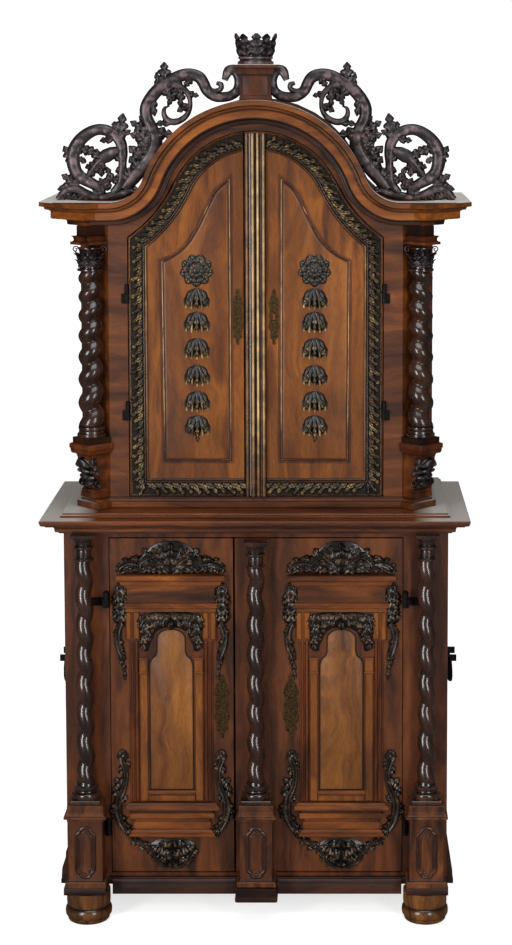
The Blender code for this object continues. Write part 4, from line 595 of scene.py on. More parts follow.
def new_tree(name, inputs):
    """A geometry tree with named inputs, each of a socket kind; returns it and its inputs."""
    tree = bpy.data.node_groups.new(name, "GeometryNodeTree")
    tree.interface.new_socket("Geometry", in_out="OUTPUT", socket_type="NodeSocketGeometry")
    for label, kind in inputs:
        tree.interface.new_socket(label, in_out="INPUT", socket_type=f"NodeSocket{kind}")
    return tree, tree.nodes.new("NodeGroupInput").outputs


def finished_tree(tree, last, finish):
    """End a tree: realize its instances and set their material."""
    solid = add(tree, "GeometryNodeRealizeInstances", {"Geometry": last.outputs[0]})
    painted = add(tree, "GeometryNodeSetMaterial", {"Geometry": solid.outputs[0], "Material": finish})
    tree.links.new(painted.outputs[0], tree.nodes.new("NodeGroupOutput").inputs[0])
    return tree


def twist_tree():
    """Roll a grid into a shaft with one strand wound round it."""
    numbers = ("Height", "Foot Radius", "Top Radius", "Groove Share", "Turns", "Tightening", "Hand", "Start")
    tree, given = new_tree("twisted shaft", [(label, "Float") for label in numbers] + [("Finish", "Material")])

    def math(operation, *values):
        return calc(tree, operation, *values)

    def times(a, b):
        return calc(tree, "MULTIPLY", a, b)

    grid = add(tree, "GeometryNodeMeshGrid", {"Size X": 1.0, "Size Y": 1.0, "Vertices X": SHAFT_GRID[0],
                                              "Vertices Y": SHAFT_GRID[1]})
    spot = add(tree, "GeometryNodeInputPosition").outputs[0]
    angle = times(math("ADD", axis(tree, spot, "X"), 0.5), 2 * pi)
    rise = math("ADD", axis(tree, spot, "Y"), 0.5)
    squared = times(times(rise, rise), given["Tightening"])
    turn = times(math("ADD", times(rise, given["Turns"]), squared), 2 * pi)
    phase = math("ADD", math("ADD", angle, given["Start"]), times(turn, given["Hand"]))
    ridge = math("POWER", math("ABSOLUTE", math("COSINE", times(phase, 0.5))), RIDGE_SHARPNESS)
    groove = math("ABSOLUTE", math("SINE", times(phase, 0.5)))
    bead = times(math("POWER", groove, GROOVE_BEAD_SHARPNESS), GROOVE_BEAD)
    swell = math("ADD", times(math("ADD", ridge, bead), math("SUBTRACT", 1.0, given["Groove Share"])),
                 given["Groove Share"])
    slimmer = math("SUBTRACT", given["Top Radius"], given["Foot Radius"])
    radius = times(swell, math("ADD", given["Foot Radius"], times(rise, slimmer)))
    where = add(tree, "ShaderNodeCombineXYZ", {"X": times(radius, math("COSINE", angle)),
                                               "Y": times(radius, math("SINE", angle)),
                                               "Z": times(rise, given["Height"])})
    rolled = add(tree, "GeometryNodeSetPosition", {"Geometry": grid.outputs["Mesh"], "Position": where.outputs[0]})
    closed = add(tree, "GeometryNodeMergeByDistance", {"Geometry": rolled.outputs[0], "Distance": SEAM})
    return finished_tree(tree, closed, given["Finish"])


TWIST = twist_tree()


def grown(name, tree, values, matrix, body, stands_for, base=None):
    """Run a tree on an object, keep its result as a plain closed mesh, and let it ride."""
    host = bpy.data.objects.new("host", base or bpy.data.meshes.new("host"))
    bpy.context.scene.collection.objects.link(host)
    modifier = host.modifiers.new("Make", "NODES")
    modifier.node_group = tree
    for item in tree.interface.items_tree:
        if item.in_out == "INPUT" and item.name in values:
            modifier[item.identifier] = values[item.name]
    bpy.context.view_layer.update()
    mesh = bpy.data.meshes.new_from_object(host.evaluated_get(bpy.context.evaluated_depsgraph_get()))
    bpy.data.objects.remove(host)
    mesh.name = name
    work = bmesh.new()
    work.from_mesh(mesh)
    work.transform(matrix)
    bmesh.ops.holes_fill(work, edges=[e for e in work.edges if e.is_boundary], sides=0)
    bmesh.ops.recalc_face_normals(work, faces=work.faces)
    work.to_mesh(mesh)
    work.free()
    put_in_scene(mesh, body, stands_for, GROWN_SHARP)


print("tree:", TWIST.name, "with", len(TWIST.nodes), "nodes")

# %% [markdown]
# ## Lower columns
#
# Each column is turned at both ends and carved between them: a square foot, rings, the
# twisted shaft, a ringed neck and a square abacus. The shaft reaches a little into the
# rings above and below, as if all of it were one piece of wood. The middle column stands
# on the right door and moves with it.

# %% Lower columns: shafts, turned feet and caps
LOWER_FOOT, LOWER_SHAFT_FOOT, LOWER_NECK = 0.3478, 0.4058, 0.076
LOWER_PITCH, LAP = 0.084, 0.002


def lower_column(place, x, top, body):
    """One lower column: a square foot, rings, the twisted shaft, a ringed neck and an abacus."""
    y, foot = COLUMN_Y, LOWER_FOOT
    node = f"lower_column_{place}"
    shaft_top = top - LOWER_NECK
    height = shaft_top - LOWER_SHAFT_FOOT + 2 * LAP
    grown(f"twisted_shaft_{place}", TWIST,
          {"Height": height, "Foot Radius": 0.0272, "Top Radius": 0.0262, "Groove Share": 0.60,
           "Turns": height / LOWER_PITCH, "Tightening": 0.0, "Hand": 1.0, "Start": 0.6, "Finish": EBONISED},
          Matrix.Translation((x, y, LOWER_SHAFT_FOOT - LAP)), body, (node,))
    base = profile((0.0405, foot + 0.012), ("swell", 0.0415, foot + 0.021), ("hollow", 0.036, foot + 0.030),
                   (0.033, foot + 0.032), ("hollow", 0.029, foot + 0.038), (0.035, foot + 0.040),
                   ("swell", 0.0352, foot + 0.048), (0.028, foot + 0.051), (0.026, foot + 0.060))
    cap = profile((0.020, shaft_top - 0.002), (0.0275, shaft_top), ("swell", 0.0285, shaft_top + 0.006),
                  (0.023, shaft_top + 0.009), ("hollow", 0.0225, shaft_top + 0.030),
                  (0.0285, shaft_top + 0.033), ("swell", 0.029, shaft_top + 0.040),
                  (0.0245, shaft_top + 0.043), ("hollow", 0.030, shaft_top + 0.060),
                  (0.0315, shaft_top + 0.066))
    parts = [box(x, y, 0.042, foot, foot + 0.012, 0.0012), turned(base, x, y), turned(cap, x, y),
             box(x, y, 0.0335, top - 0.0112, top, 0.001)]
    lay(f"column_rings_{place}", parts, EBONISED, body, (node,))


lower_column("left", -COLUMN_X, 1.1177, "cabinet")
lower_column("right", COLUMN_X, 1.1177, "cabinet")
lower_column("centre", 0.0, 1.0972, "lower_door_right_body")
print("lower columns made")

# %% [markdown]
# ## Cornices, base moulding and plinth
#
# Each moulding is a board with a worked front edge, mitred round the plan of the case. The
# section is drawn once with straight runs, swells and hollows, and the plan is carried out
# by it at every level. On the back edge the offset is nothing, so the back stays flat.

# %% Lower cornice and upper base moulding
BASE_SQUARE = 0.034
lower_cornice_section = profile((0.0, 1.1182), (0.006, 1.1182), (0.006, 1.1215),
                                ("swell", 0.0165, 1.1285), (0.0165, 1.1300), ("hollow", 0.036, 1.1420),
                                (0.040, 1.1420), (0.040, 1.1450), ("swell", 0.0535, 1.1545),
                                (0.0535, 1.1560), (0.055, 1.1565), (0.055, 1.1605),
                                (0.0535, 1.1620))
lay("lower_cornice_moulding",
    [moulded(block_plan(-0.5425, 0.5425, -0.2345, BACK), lower_cornice_section, flush=(2,)),
     moulded(block_plan(-0.543, 0.543, -0.243, BACK),
             profile((-0.001, 1.1622), (0, 1.1632), (0, 1.1690), ("swell", -0.006, 1.1743)), flush=(2,))],
    DUSTY_TOP, "cabinet", ("lower_cornice",))


def at_corner(u, v):
    """A place under a corner column, whose square stands at 45 degrees: u outwards, v across."""
    return UPPER_COLUMN_X + (u + v) * sqrt(0.5), UPPER_COLUMN_Y + (v - u) * sqrt(0.5)


def both_ends(right):
    """A whole plan from its right half, anticlockwise from the back left."""
    return [(-x, y) for x, y in reversed(right)] + right


base_plan = both_ends([(0.4161, UPPER_FACE), at_corner(0.001, -BASE_SQUARE), at_corner(0.001, BASE_SQUARE),
                       (0.4870, BACK)])
base_section = profile((0.018, 1.1750), (0.020, 1.1765), (0.020, 1.1920), (0.0185, 1.1932),
                       (0.0125, 1.1935), ("swell", 0.0085, 1.1990), (0.0070, 1.1995),
                       (0.0035, 1.2000), (0.003, 1.2037))
lay("upper_base_board", [moulded(base_plan, base_section, flush=(len(base_plan) - 1,))], MOULDING_WALNUT,
    "cabinet", ("upper_base_moulding",))
print("cornice section points:", len(lower_cornice_section))

# %% [markdown]
# ## The plinth
#
# A nosed board runs under the whole case and breaks forward under both posts. Between them
# hangs an apron with a hollow front, in two lengths, with a square block under the middle
# post. A tall moulding runs back along each side. All of it is stained dark, against knocks.

# %% Plinth, aprons and side mouldings
PLINTH_BREAK, MIDDLE_HALF = 0.4325, 0.060
plinth_plan = both_ends([(PLINTH_BREAK, LOWER_FACE), (PLINTH_BREAK, POST_FRONT), (LOWER_HALF, POST_FRONT),
                         (LOWER_HALF, BACK)])
plinth_nose = profile((0.0035, 0.0898), ("swell", 0.0095, 0.0958), (0.0095, 0.1045), (0.007, 0.1105),
                      (0.004, 0.1112))
plinth_parts = [moulded(plinth_plan, plinth_nose, flush=(0, 6, 7))]
side_section = profile((0.5414, 0.0898), (0.5600, 0.0898), (0.5603, 0.1015), (0.5585, 0.1030),
                       ("hollow", 0.5485, 0.1500), (0.5480, 0.1520), ("swell", 0.5462, 0.1820),
                       (0.5414, 0.1893))
apron_section = profile((-0.180, 0.0660), (-0.2098, 0.0660), (-0.2103, 0.0900), (-0.2085, 0.0932),
                        ("hollow", -0.1985, 0.1080), (-0.1930, 0.1106), (-0.180, 0.1112))
for side, _ in SIDES:
    plinth_parts.append(skin([[(side * x, y, z) for x, z in side_section] for y in (LOWER_FACE, BACK)]))
    plinth_parts.append(skin([[(x, y, z) for y, z in apron_section] for x in (side * MIDDLE_HALF, side * 0.4115)]))
plinth_parts.append(moulded(block_plan(-MIDDLE_HALF, MIDDLE_HALF, POST_FRONT, -0.175),
                            profile((-0.012, 0.0637), ("swell", -0.001, 0.0700), (0, 0.0705), (0, 0.0795),
                                    ("hollow", -0.003, 0.0815), (-0.003, 0.1060), (0, 0.1075),
                                    (0, 0.1078))))
lay("plinth_mouldings", plinth_parts, DARK_MOULDING, "cabinet", ("plinth",))
print("plinth parts:", len(plinth_parts))

# %% [markdown]
# ## Bun feet and pedestals
#
# The feet are turned: a swelling foot, a full bun, a neck and a collar. The pedestals are
# square posts with a moulded cap and base, and each carries two raised long frames on its
# face, one in the other, cut from thin stock and rounded over.

# %% Feet and pedestals
FOOT_X, FOOT_Y = 0.478, 0.2215
PANEL_MIDDLE = 0.2120
foot_section = profile((0.044, 0.0), (0.0460, 0.0006), ("swell", 0.0590, 0.0080), (0.0600, 0.0120),
                       (0.0585, 0.0140), (0.0590, 0.0155), ("swell", 0.0655, 0.0245),
                       (0.0660, 0.0300), (0.0650, 0.0365), (0.0615, 0.0425),
                       (0.0585, 0.0445), (0.0585, 0.0465), (0.0610, 0.0480),
                       (0.0618, 0.0560), (0.0618, 0.0885))
for depth_name, y in (("front", -FOOT_Y), ("rear", FOOT_Y)):
    for side, name in SIDES:
        lay(f"bun_{depth_name}_{name}", [turned(foot_section, side * FOOT_X, y, 64)], FOOT_WALNUT, "cabinet",
            (f"foot_{depth_name}_{name}",))


FRAME_EDGE = ((0.0, 1.0), (0.30, 0.985), (0.50, 0.935), (0.60, 0.865), (0.64, 0.815), (0.78, 0.795), (0.93, 0.745),
              (1.0, 0.66), (1.0, 0.33), (1.0, 0.0))


def long_frame(x, z, y, half_x, half_z, thick):
    """A raised moulding round an upright panel, drawn in to a small arch at both ends."""
    quarter = [(half_x * u, half_z * v) for u, v in FRAME_EDGE]
    right = quarter + [(u, -v) for u, v in quarter[-2::-1]]
    line = right + [(-u, v) for u, v in right[-2:0:-1]]
    rings = []
    for k in range(len(line)):
        before, here, ahead = (Vector(line[(k + d) % len(line)]) for d in (-1, 0, 1))
        run = ((here - before).normalized() + (ahead - here).normalized()).normalized()
        out = Vector((-run.y, run.x)) * thick
        rings.append([(x + here.x + out.x * cos(b), y - thick * 0.8 * sin(b), z + here.y + out.y * cos(b))
                      for b in (0, 0.7, pi / 2, pi - 0.7, pi)] + [(x + here.x, y + 0.001, z + here.y)])
    # The flanks take low relief, so the walnut finish paints them darker as shade.
    return skin(rings, loop=True, relief=[0.2, 0.8, 1.0, 0.8, 0.2, 0.0] * len(line))


def pedestal(name, x, half, body, node):
    """A square post with a moulded cap and base and two long frames on its face."""
    section = profile((0.0095, POST_FOOT if x else MIDDLE_POST_FOOT), (0.0095, 0.1240), ("hollow", 0.001, 0.1300),
                      (0.0, 0.1320), (0.0, 0.3020), (0.003, 0.3035), ("hollow", 0.0095, 0.3110),
                      (0.0115, 0.3120), (0.0115, 0.3180), ("swell", 0.0045, 0.3290),
                      (0.0030, 0.3300), (0.0030, 0.3465), (0.0020, 0.3474))
    plan = block_plan(x - half, x + half, POST_FRONT, POST_BACK)
    lay(name, [moulded(plan, section, flush=(2,))], PEDESTAL_WALNUT, body, (node,))
    lay(f"{name}_frame", [long_frame(x, PANEL_MIDDLE, POST_FRONT, half_x, half_z, thick)
                          for half_x, half_z, thick in ((0.0250, 0.072, 0.0050), (0.0165, 0.060, 0.0018))],
        DARK_MOULDING, body, (node,))


for side, name in SIDES:
    pedestal(f"post_{name}", side * COLUMN_X, 0.0475, "cabinet", f"corner_pedestal_{name}")
pedestal("post_centre", 0.0, 0.045, "lower_door_right_body", "centre_pedestal")
print("feet and pedestals made")

# %% [markdown]
# ## The arched cornice
#
# The cornice is bent up over the middle as a half round arch, turns down into two coves
# and then runs level round the canted corners to the back. One section travels along that
# line; at each corner it is mitred. Bed, corona and crown moulding were planed from
# different wood, so they are three pieces.

# %% Arch lines and the cornice
ARCH_Z, ARCH_R, COVE_R, ARCH_TURN = 1.9960, 0.325, 0.104, radians(70)
CORNICE_TOP, CORNICE_RISE, CORNICE_REACH = 2.0387, 0.066, 0.0996
ARCH_STEPS, COVE_STEPS = 34, 14
BLOCK_HALF = 0.020


def arch_half(centre_z, radius, cove, turn, end_x=None):
    """Right half of an arch that turns out into a cove: (x, z, normal) from the top outwards."""
    line = []
    for i in range(ARCH_STEPS + 1):
        normal = Vector((sin(turn * i / ARCH_STEPS), cos(turn * i / ARCH_STEPS)))
        line.append((radius * normal.x, centre_z + radius * normal.y, normal))
    cx, cz = (radius + cove) * sin(turn), centre_z + (radius + cove) * cos(turn)
    last = 0 if end_x is None else atan2(cx - end_x, sqrt(cove ** 2 - (cx - end_x) ** 2))
    for i in range(1, COVE_STEPS + 1):
        angle = turn + (last - turn) * i / COVE_STEPS
        normal = Vector((sin(angle), cos(angle)))
        line.append((cx - cove * normal.x, cz - cove * normal.y, normal))
    return line


def cornice_path():
    """Right half of the path: origin, projecting direction and rising direction."""
    path = [(Vector((x, UPPER_FACE, z)), Vector((0, -1, 0)), Vector((n.x, 0, n.y)))
            for x, z, n in arch_half(ARCH_Z, ARCH_R, COVE_R, ARCH_TURN)]
    plan = [(0, UPPER_FACE), (0.4684, UPPER_FACE), (0.470, -0.1486), (UPPER_HALF, -0.1156), (UPPER_HALF, BACK)]
    moved = offset_line(plan, [1] * len(plan), closed=False)
    for here, there in zip(plan[1:], moved[1:]):
        path.append((Vector((*here, CORNICE_TOP)), Vector((there[0] - here[0], there[1] - here[1], 0)),
                     Vector((0, 0, 1))))
    return path


def run_cornice(section):
    """Carry a section of (projection, height) shares along the whole cornice."""
    right = cornice_path()
    flip = Vector((-1, 1, 1))
    left = [tuple(v * flip for v in station) for station in reversed(right[1:])]
    relief = unshaded_share([a * CORNICE_REACH for a, _ in section]) * (len(left) + len(right))
    return skin([[o + p * (0.0004 + a * CORNICE_REACH) + r * (h - 1) * CORNICE_RISE for a, h in section]
                 for o, p, r in left + right], relief=relief)


bed = profile((0.0, 0.0), (0.20, 0.0), ("swell", 0.25, 0.07), (0.255, 0.10), ("hollow", 0.31, 0.21),
              (0.335, 0.215), (0.335, 0.268), (0.0, 0.268))
corona = profile((0.0, 0.27), (0.665, 0.27), (0.665, 0.29), (0.69, 0.30), (0.69, 0.585),
                 (0.68, 0.60), (0.0, 0.60))
crown_section = profile((0.0, 0.602), (0.695, 0.602), ("swell", 0.73, 0.635), (0.735, 0.645),
                        ("swell", 0.855, 0.70), ("hollow", 0.965, 0.79), (0.985, 0.795), (1.0, 0.805),
                        (1.0, 0.985), (0.99, 1.0), (0.0, 1.0))
for name, section, finish in (("bed", bed, DARK_MOULDING), ("corona", corona, BAND_WALNUT),
                              ("crown", crown_section, CROWN_WALNUT)):
    lay(f"cornice_{name}", [run_cornice(section)], finish, "cabinet", ("arched_cornice",))


def corner_matrix(side):
    """Puts a part made round its own axis onto a turned corner; its X axis points outwards."""
    place = Matrix.Translation((UPPER_COLUMN_X, UPPER_COLUMN_Y, 0)) @ Matrix.Rotation(-pi / 4, 4, "Z")
    return place if side > 0 else Matrix.Scale(-1, 4, (1, 0, 0)) @ place


for side, name in SIDES:
    block = block_plan(0.0045, 0.030, -BLOCK_HALF, BLOCK_HALF)
    lay(f"frieze_block_{name}", [placed(moulded(block, [(0, 1.9728), (0, 1.9905)]), corner_matrix(side))],
        CASE_WALNUT, "cabinet", ("arched_cornice",))
print("cornice made")

# %% [markdown]
# ## Leaves and scrolls
#
# The carver built all ornament from two shapes: a lobed leaf with a hollow midrib and
# raised folds, and a rounded band with a channel along it that rolls up in volutes. Both
# are drawn as rows of cross sections, and each point keeps its relief for the finish.

# %% Leaf and ribbon
LEAF_WALL = 0.0012


def leaf(length, width, depth, lobes=4, curl=0.0, cols=8, root=0.55, blunt=0.7):
    """A carved leaf with round lobes swept forwards; it grows up from its root and faces -Y."""
    rings, relief, rows = [], [], max(8, 4 * lobes)
    for r in range(rows + 1):
        t = r / rows
        spread = sin(pi * (root / 2 + (1 - root / 2) * t)) ** blunt if r < rows else 0.10
        lobe = abs(sin(pi * lobes * t)) if lobes > 1 else 1.0
        half = width / 2 * spread * (0.50 + 0.50 * sqrt(lobe) if 0 < r < rows else 0.9)
        lift, z = curl * length * t ** 2.4, length * (t - 0.35 * curl * t ** 4)
        front, back = [], []
        for c in range(cols + 1):
            s = 2 * c / cols - 1
            body = sqrt(max(0.0, 1 - s * s))
            fold = 1 - (1 - lobe) * min(1.0, 1.6 * abs(s))
            rib = exp(-((abs(s) - 0.05) / 0.16) ** 2)
            rise = depth * (0.25 + 0.75 * body) * (0.30 + 0.70 * fold) * (1 - 0.40 * rib) * (0.4 + 0.6 * spread)
            swept = z + 0.30 * width * spread * abs(s) ** 1.5 * (1 - t)
            front.append((half * s, -lift - rise, swept))
            # Painted light: the lobe bulges take high relief and are coloured bright as highlight, while the notches
            # and midrib are coloured dark as shade.
            relief.append(min(1.0, 0.10 + 0.95 * (0.35 + 0.65 * body) * fold * (1 - 0.75 * rib)))
            back.append((half * s, -lift + LEAF_WALL, swept))
        rings.append(front + back[::-1])
        relief += [0.1] * (cols + 1)
    return skin(rings, relief=relief)


def smooth_line(points, steps):
    """A smooth line through (x, z) points."""
    p = [Vector(q) for q in points]
    p = [2 * p[0] - p[1]] + p + [2 * p[-1] - p[-2]]
    line = []
    for a, b, c, d in zip(p, p[1:], p[2:], p[3:]):
        for k in range(steps):
            t = k / steps
            line.append(0.5 * (2 * b + (c - a) * t + (2 * a - 5 * b + 4 * c - d) * t * t
                               + (3 * b - 3 * c + d - a) * t ** 3))
    return line + [p[-2]]


def ribbon(points, widths, front, back, flute, facets=0.0, cols=6, steps=5):
    """A carved band along (x, z) points; widths are given from start to end, depths from y = 0."""
    path = smooth_line(points, steps)
    last, length, rings, relief = len(path) - 1, 0.0, [], []
    for i, point in enumerate(path):
        length += (point - path[i - 1]).length if i else 0.0
        ahead = (path[min(i + 1, last)] - path[max(i - 1, 0)]).normalized()
        across = Vector((ahead.y, -ahead.x))
        spot = i / last * (len(widths) - 1)
        k = min(int(spot), len(widths) - 2)
        half = (widths[k] + (widths[k + 1] - widths[k]) * (spot - k)) / 2
        cut = 1 - facets * (0.5 + 0.5 * sin(length * 150 + 2.2 * sin(length * 61))) ** 2
        outer, inner = [], []
        for c in range(cols + 1):
            s = 2 * c / cols - 1
            swell = (max(0.0, 1 - s * s) ** 0.32) * (1 - flute * exp(-(s / 0.34) ** 2)) * cut
            spot_x, spot_z = point + across * (s * half)
            outer.append((spot_x, -front * (0.3 + 0.7 * swell), spot_z))
            inner.append((spot_x, back * (0.3 + 0.7 * swell) if back else 0.0, spot_z))
            # Painted light: the band's rounded face takes high relief and is coloured bright, and its channel and
            # edges dark.
            relief.append(min(1.0, 0.12 + 0.80 * swell))
        rings.append(outer + inner[::-1])
        relief += [0.3 if back else 0.1] * (cols + 1)
    return skin(rings, relief=relief)


def turned_to(angle, x, y, z):
    """Place a leaf at a point of a front face, its tip turned clockwise by an angle in degrees."""
    return Matrix.Translation((x, y, z)) @ Matrix.Rotation(radians(angle), 4, "Y")


def rosette(x, y, z, radius, depth, petals):
    """A round flower: two rings of cupped petals round a button."""
    parts = []
    for k in range(2 * petals):
        reach, rise = (radius, 0.0) if k % 2 else (radius * 0.80, depth * 0.35)
        petal = leaf(reach, radius * 0.62, depth * 0.62, lobes=2, root=0.15, blunt=0.32)
        petal = (petal[0], petal[1], [r * 0.82 for r in petal[2]])
        parts.append(placed(petal, turned_to(180 * k / petals, x, y - rise, z)))
    knob = [(radius * 0.24 * cos(a), depth * (0.55 + 0.55 * sin(a))) for a in [i * pi / 10 for i in range(6)]]
    rings = [[(x + r * cos(b), y - d, z + r * sin(b)) for b in [2 * pi * i / 16 for i in range(16)]]
             for r, d in [(radius * 0.24, 0)] + knob]
    parts.append(skin(rings, relief=[0.1 + 0.1 * i for i in range(7) for _ in range(16)]))
    return parts


print("leaf faces:", len(leaf(0.05, 0.03, 0.005)[1]))

# %% [markdown]
# ## Brackets of the upper case
#
# Each free column stands on a bracket set at 45 degrees. It is built up of three blocks: a
# low foot, a body that swells forward as it rises, and a moulded cap. Two hanging leaves
# cover its front, and volutes and smaller leaves its cheeks.

# %% Brackets
CHEEK, BRACKET_INNER = 0.0285, -0.0375


def volute(radius, depth, turns=1.6, hand=1):
    """A flat spiral band that rolls inwards, in the XZ plane round the origin."""
    points = []
    for i in range(15):
        t = i / 14
        a, r = 2 * pi * turns * t * hand, radius * (1 - 0.78 * t)
        points.append((r * cos(a), r * sin(a)))
    return ribbon(points, [radius * 0.34, radius * 0.36, radius * 0.3], depth, 0.0, 0.35, cols=5, steps=3)


CONSOLE_LINE = ((1.2280, 0.002), (1.2400, 0.001), (1.2520, 0.004), (1.2700, 0.013), (1.2900, 0.023),
                (1.3080, 0.029), (1.3215, 0.0295))
HANGING_LEAVES = ((0.094, 0.070, 0.013, 4, 0.002, 0.0), (0.066, 0.060, 0.012, 3, -0.009, 0.001))


def bracket(side, name):
    """The blocks and the carving of one bracket."""
    here, below = corner_matrix(side), f"upper_bracket_{name}"
    cap = profile((-0.0135, 1.3190), (-0.0120, 1.3205), ("hollow", -0.0060, 1.3290), (-0.0045, 1.3295),
                  ("swell", 0.0010, 1.3440), (0.0030, 1.3445), (0.0030, 1.3560), (0.0020, 1.3575),
                  (-0.0040, 1.3600), (-0.0040, 1.3755))
    foot_steps = profile((0.0, 1.2043), (0.0, 1.2170), (-0.0015, 1.2180), ("hollow", -0.0050, 1.2280),
                         (-0.0060, 1.2290))
    square = block_plan(BRACKET_INNER, 0.042, -0.042, 0.042)
    low_square = block_plan(BRACKET_INNER, 0.016, -0.032, 0.032)
    console = skin([[(x, y, z) for x, y in block_plan(BRACKET_INNER, reach, -CHEEK, CHEEK)]
                    for z, reach in CONSOLE_LINE])
    lay(f"bracket_block_{name}", [placed(moulded(plan, steps, flush=(3,)), here)
                                  for plan, steps in ((square, cap), (low_square, foot_steps))],
        CASE_WALNUT, "cabinet", (below,))
    lay(f"bracket_body_{name}", [placed(console, here)], MOULDING_WALNUT, "cabinet", (below,))
    front = here @ Matrix.Rotation(pi / 2, 4, "Z")
    hang = front @ Matrix.Translation((0, -0.0325, 1.3230)) @ Matrix.Rotation(radians(19), 4, "X")
    carving = [placed(leaf(long, wide, deep, lobes, 0.10, root=0.9, blunt=0.4),
                      hang @ Matrix.Translation((0, shift, low)) @ Matrix.Rotation(pi, 4, "Y"))
               for long, wide, deep, lobes, shift, low in HANGING_LEAVES]
    carving += [placed(volute(0.012, 0.013), front @ Matrix.Translation((x, -0.004, 1.2445)))
                for x in (-0.018, 0.018)]
    for hand in (-1, 1):
        across = here @ Matrix.Rotation(pi if hand > 0 else 0, 4, "Z")
        carving.append(placed(volute(0.013, 0.007, hand=hand),
                              across @ Matrix.Translation((-0.010 * hand, -CHEEK, 1.2450))))
        carving.append(placed(leaf(0.062, 0.024, 0.006, 3, 0.08, root=0.8),
                              across @ Matrix.Translation((-0.022 * hand, -0.0280, 1.3200))
                              @ Matrix.Rotation(pi - 0.35 * hand, 4, "Y")))
    lay(f"bracket_carving_{name}", carving, CARVED_DARK, "cabinet", (below,))


print("console steps:", len(CONSOLE_LINE))

# %% [markdown]
# ## Corner columns of the upper case
#
# Each has a turned base, a twisted shaft, a capital of two rings of leaves with corner
# volutes, and a moulded block that carries the cornice. The twist runs the other way round
# on the left, so that the two columns answer each other, and its turns get closer towards
# the top.

# %% Upper columns
UPPER_SHAFT_FOOT, UPPER_SHAFT_RISE = 1.4095, 0.4365
FOOT_PITCH, TOP_PITCH, START = 0.074, 0.050, 0.8
CAPITAL_LEAVES, CAPITAL_ROWS = 8, ((1.852, 0.030, 0.024), (1.858, 0.046, 0.026))


def upper_column(side, name):
    """Base, shaft, capital and block on one turned corner."""
    here, node = corner_matrix(side), f"upper_column_{name}"
    turns = UPPER_SHAFT_RISE / FOOT_PITCH
    base = profile((0.0385, 1.3766), (0.0400, 1.3772), ("swell", 0.0405, 1.3860), (0.0365, 1.3880),
                   ("hollow", 0.0335, 1.3960), (0.0365, 1.3975), ("swell", 0.0370, 1.4060),
                   (0.0335, 1.4075), (0.0300, 1.4105))
    grown(f"upper_shaft_{name}", TWIST,
          {"Height": UPPER_SHAFT_RISE, "Foot Radius": 0.0372, "Top Radius": 0.0325, "Groove Share": 0.55,
           "Turns": turns, "Tightening": (UPPER_SHAFT_RISE / TOP_PITCH - turns) / 2, "Hand": float(side),
           "Start": START if side > 0 else -pi - START, "Finish": EBONISED},
          Matrix.Translation((UPPER_COLUMN_X * side, UPPER_COLUMN_Y, UPPER_SHAFT_FOOT)), "cabinet", (node,))
    bell = profile((0.0270, 1.8450), (0.0350, 1.8456), ("swell", 0.0355, 1.8510), (0.0285, 1.8530),
                   ("hollow", 0.0275, 1.8700), ("hollow", 0.0345, 1.9080), (0.0345, 1.9105))
    lay(f"column_turning_{name}", [placed(turned(base, 0, 0), here), placed(turned(bell, 0, 0), here)], EBONISED,
        "cabinet", (node,))
    leaves = []
    for row, (low, length, width) in enumerate(CAPITAL_ROWS):
        for k in range(CAPITAL_LEAVES):
            spin = Matrix.Rotation(2 * pi * (k + row / 2) / CAPITAL_LEAVES, 4, "Z")
            leaves.append(placed(leaf(length, width, 0.005, 3, 0.42, cols=6),
                                 here @ spin @ Matrix.Translation((0, -0.0285, low))))
    for k in range(4):
        spin = here @ Matrix.Rotation(pi / 2 * k + pi / 4, 4, "Z")
        leaves.append(placed(volute(0.0095, 0.004, 1.3), spin @ Matrix.Rotation(pi / 2, 4, "Z")
                             @ Matrix.Translation((-0.0395, 0.002, 1.9055))))
    lay(f"capital_leaves_{name}", leaves, CARVED_DARK, "cabinet", (node,))
    block = block_plan(BRACKET_INNER, 0.030, -BLOCK_HALF, BLOCK_HALF)
    section = profile((0.012, 1.9196), (0.013, 1.9202), (0.013, 1.9275), ("swell", 0.0075, 1.9300),
                      (0.006, 1.9305), ("hollow", 0.0125, 1.9425), (0.0130, 1.9435),
                      (0.0, 1.9445), (0.0, 1.9720))
    lay(f"column_block_{name}", [placed(moulded(block, section, flush=(3,)), here)], CASE_WALNUT, "cabinet", (node,))


for side, name in SIDES:
    bracket(side, name)
    upper_column(side, name)
print("upper columns made, turns in each:", round(UPPER_SHAFT_RISE / FOOT_PITCH, 1), "before they close up")

# %% [markdown]
# ## Upper doors
#
# The two doors meet under the arch. Each has a raised field with a shaped head and a thin
# bead round it, which carries painted highlights on its uprights. The field is veneered with
# figured walnut. The iron barrels that hold the door stand on the case's halves of the hinges.

# %% Door outlines and boards
DOOR_ARCH_Z, DOOR_ARCH_R, DOOR_COVE_R, DOOR_TURN = 1.984, 0.250, 0.377, radians(65)
DOOR_HALF, DOOR_LOW, ASTRAGAL_HALF = 0.356, 1.2066, 0.030


def door_head(inset, inner_x, outer_x):
    """The line of the doors' heads from inner_x out to outer_x, drawn in by inset."""
    line = arch_half(DOOR_ARCH_Z, DOOR_ARCH_R - inset, DOOR_COVE_R + inset, DOOR_TURN, outer_x)
    radius = DOOR_ARCH_R - inset
    start = (inner_x, DOOR_ARCH_Z + sqrt(radius ** 2 - inner_x ** 2))
    return [start] + [(x, z) for x, z, _ in line if x > inner_x + 0.001]


def closed_door(inset, inner_x, outer_x, low):
    """Anticlockwise outline of a door or of a field in it."""
    return [(inner_x, low), (outer_x, low)] + door_head(inset, inner_x, outer_x)[::-1]


FIELD = [(0.068, 1.305), (0.261, 1.305), (0.261, 1.380), (0.261, 1.420)] + [tuple(p) for p in smooth_line(
    [(0.2646, 1.872), (0.224, 1.893), (0.190, 1.925), (0.166, 1.963), (0.148, 2.000), (0.133, 2.031),
     (0.111, 2.071), (0.0695, 2.106)], 4)] + [(0.068, 1.420), (0.068, 1.380)]


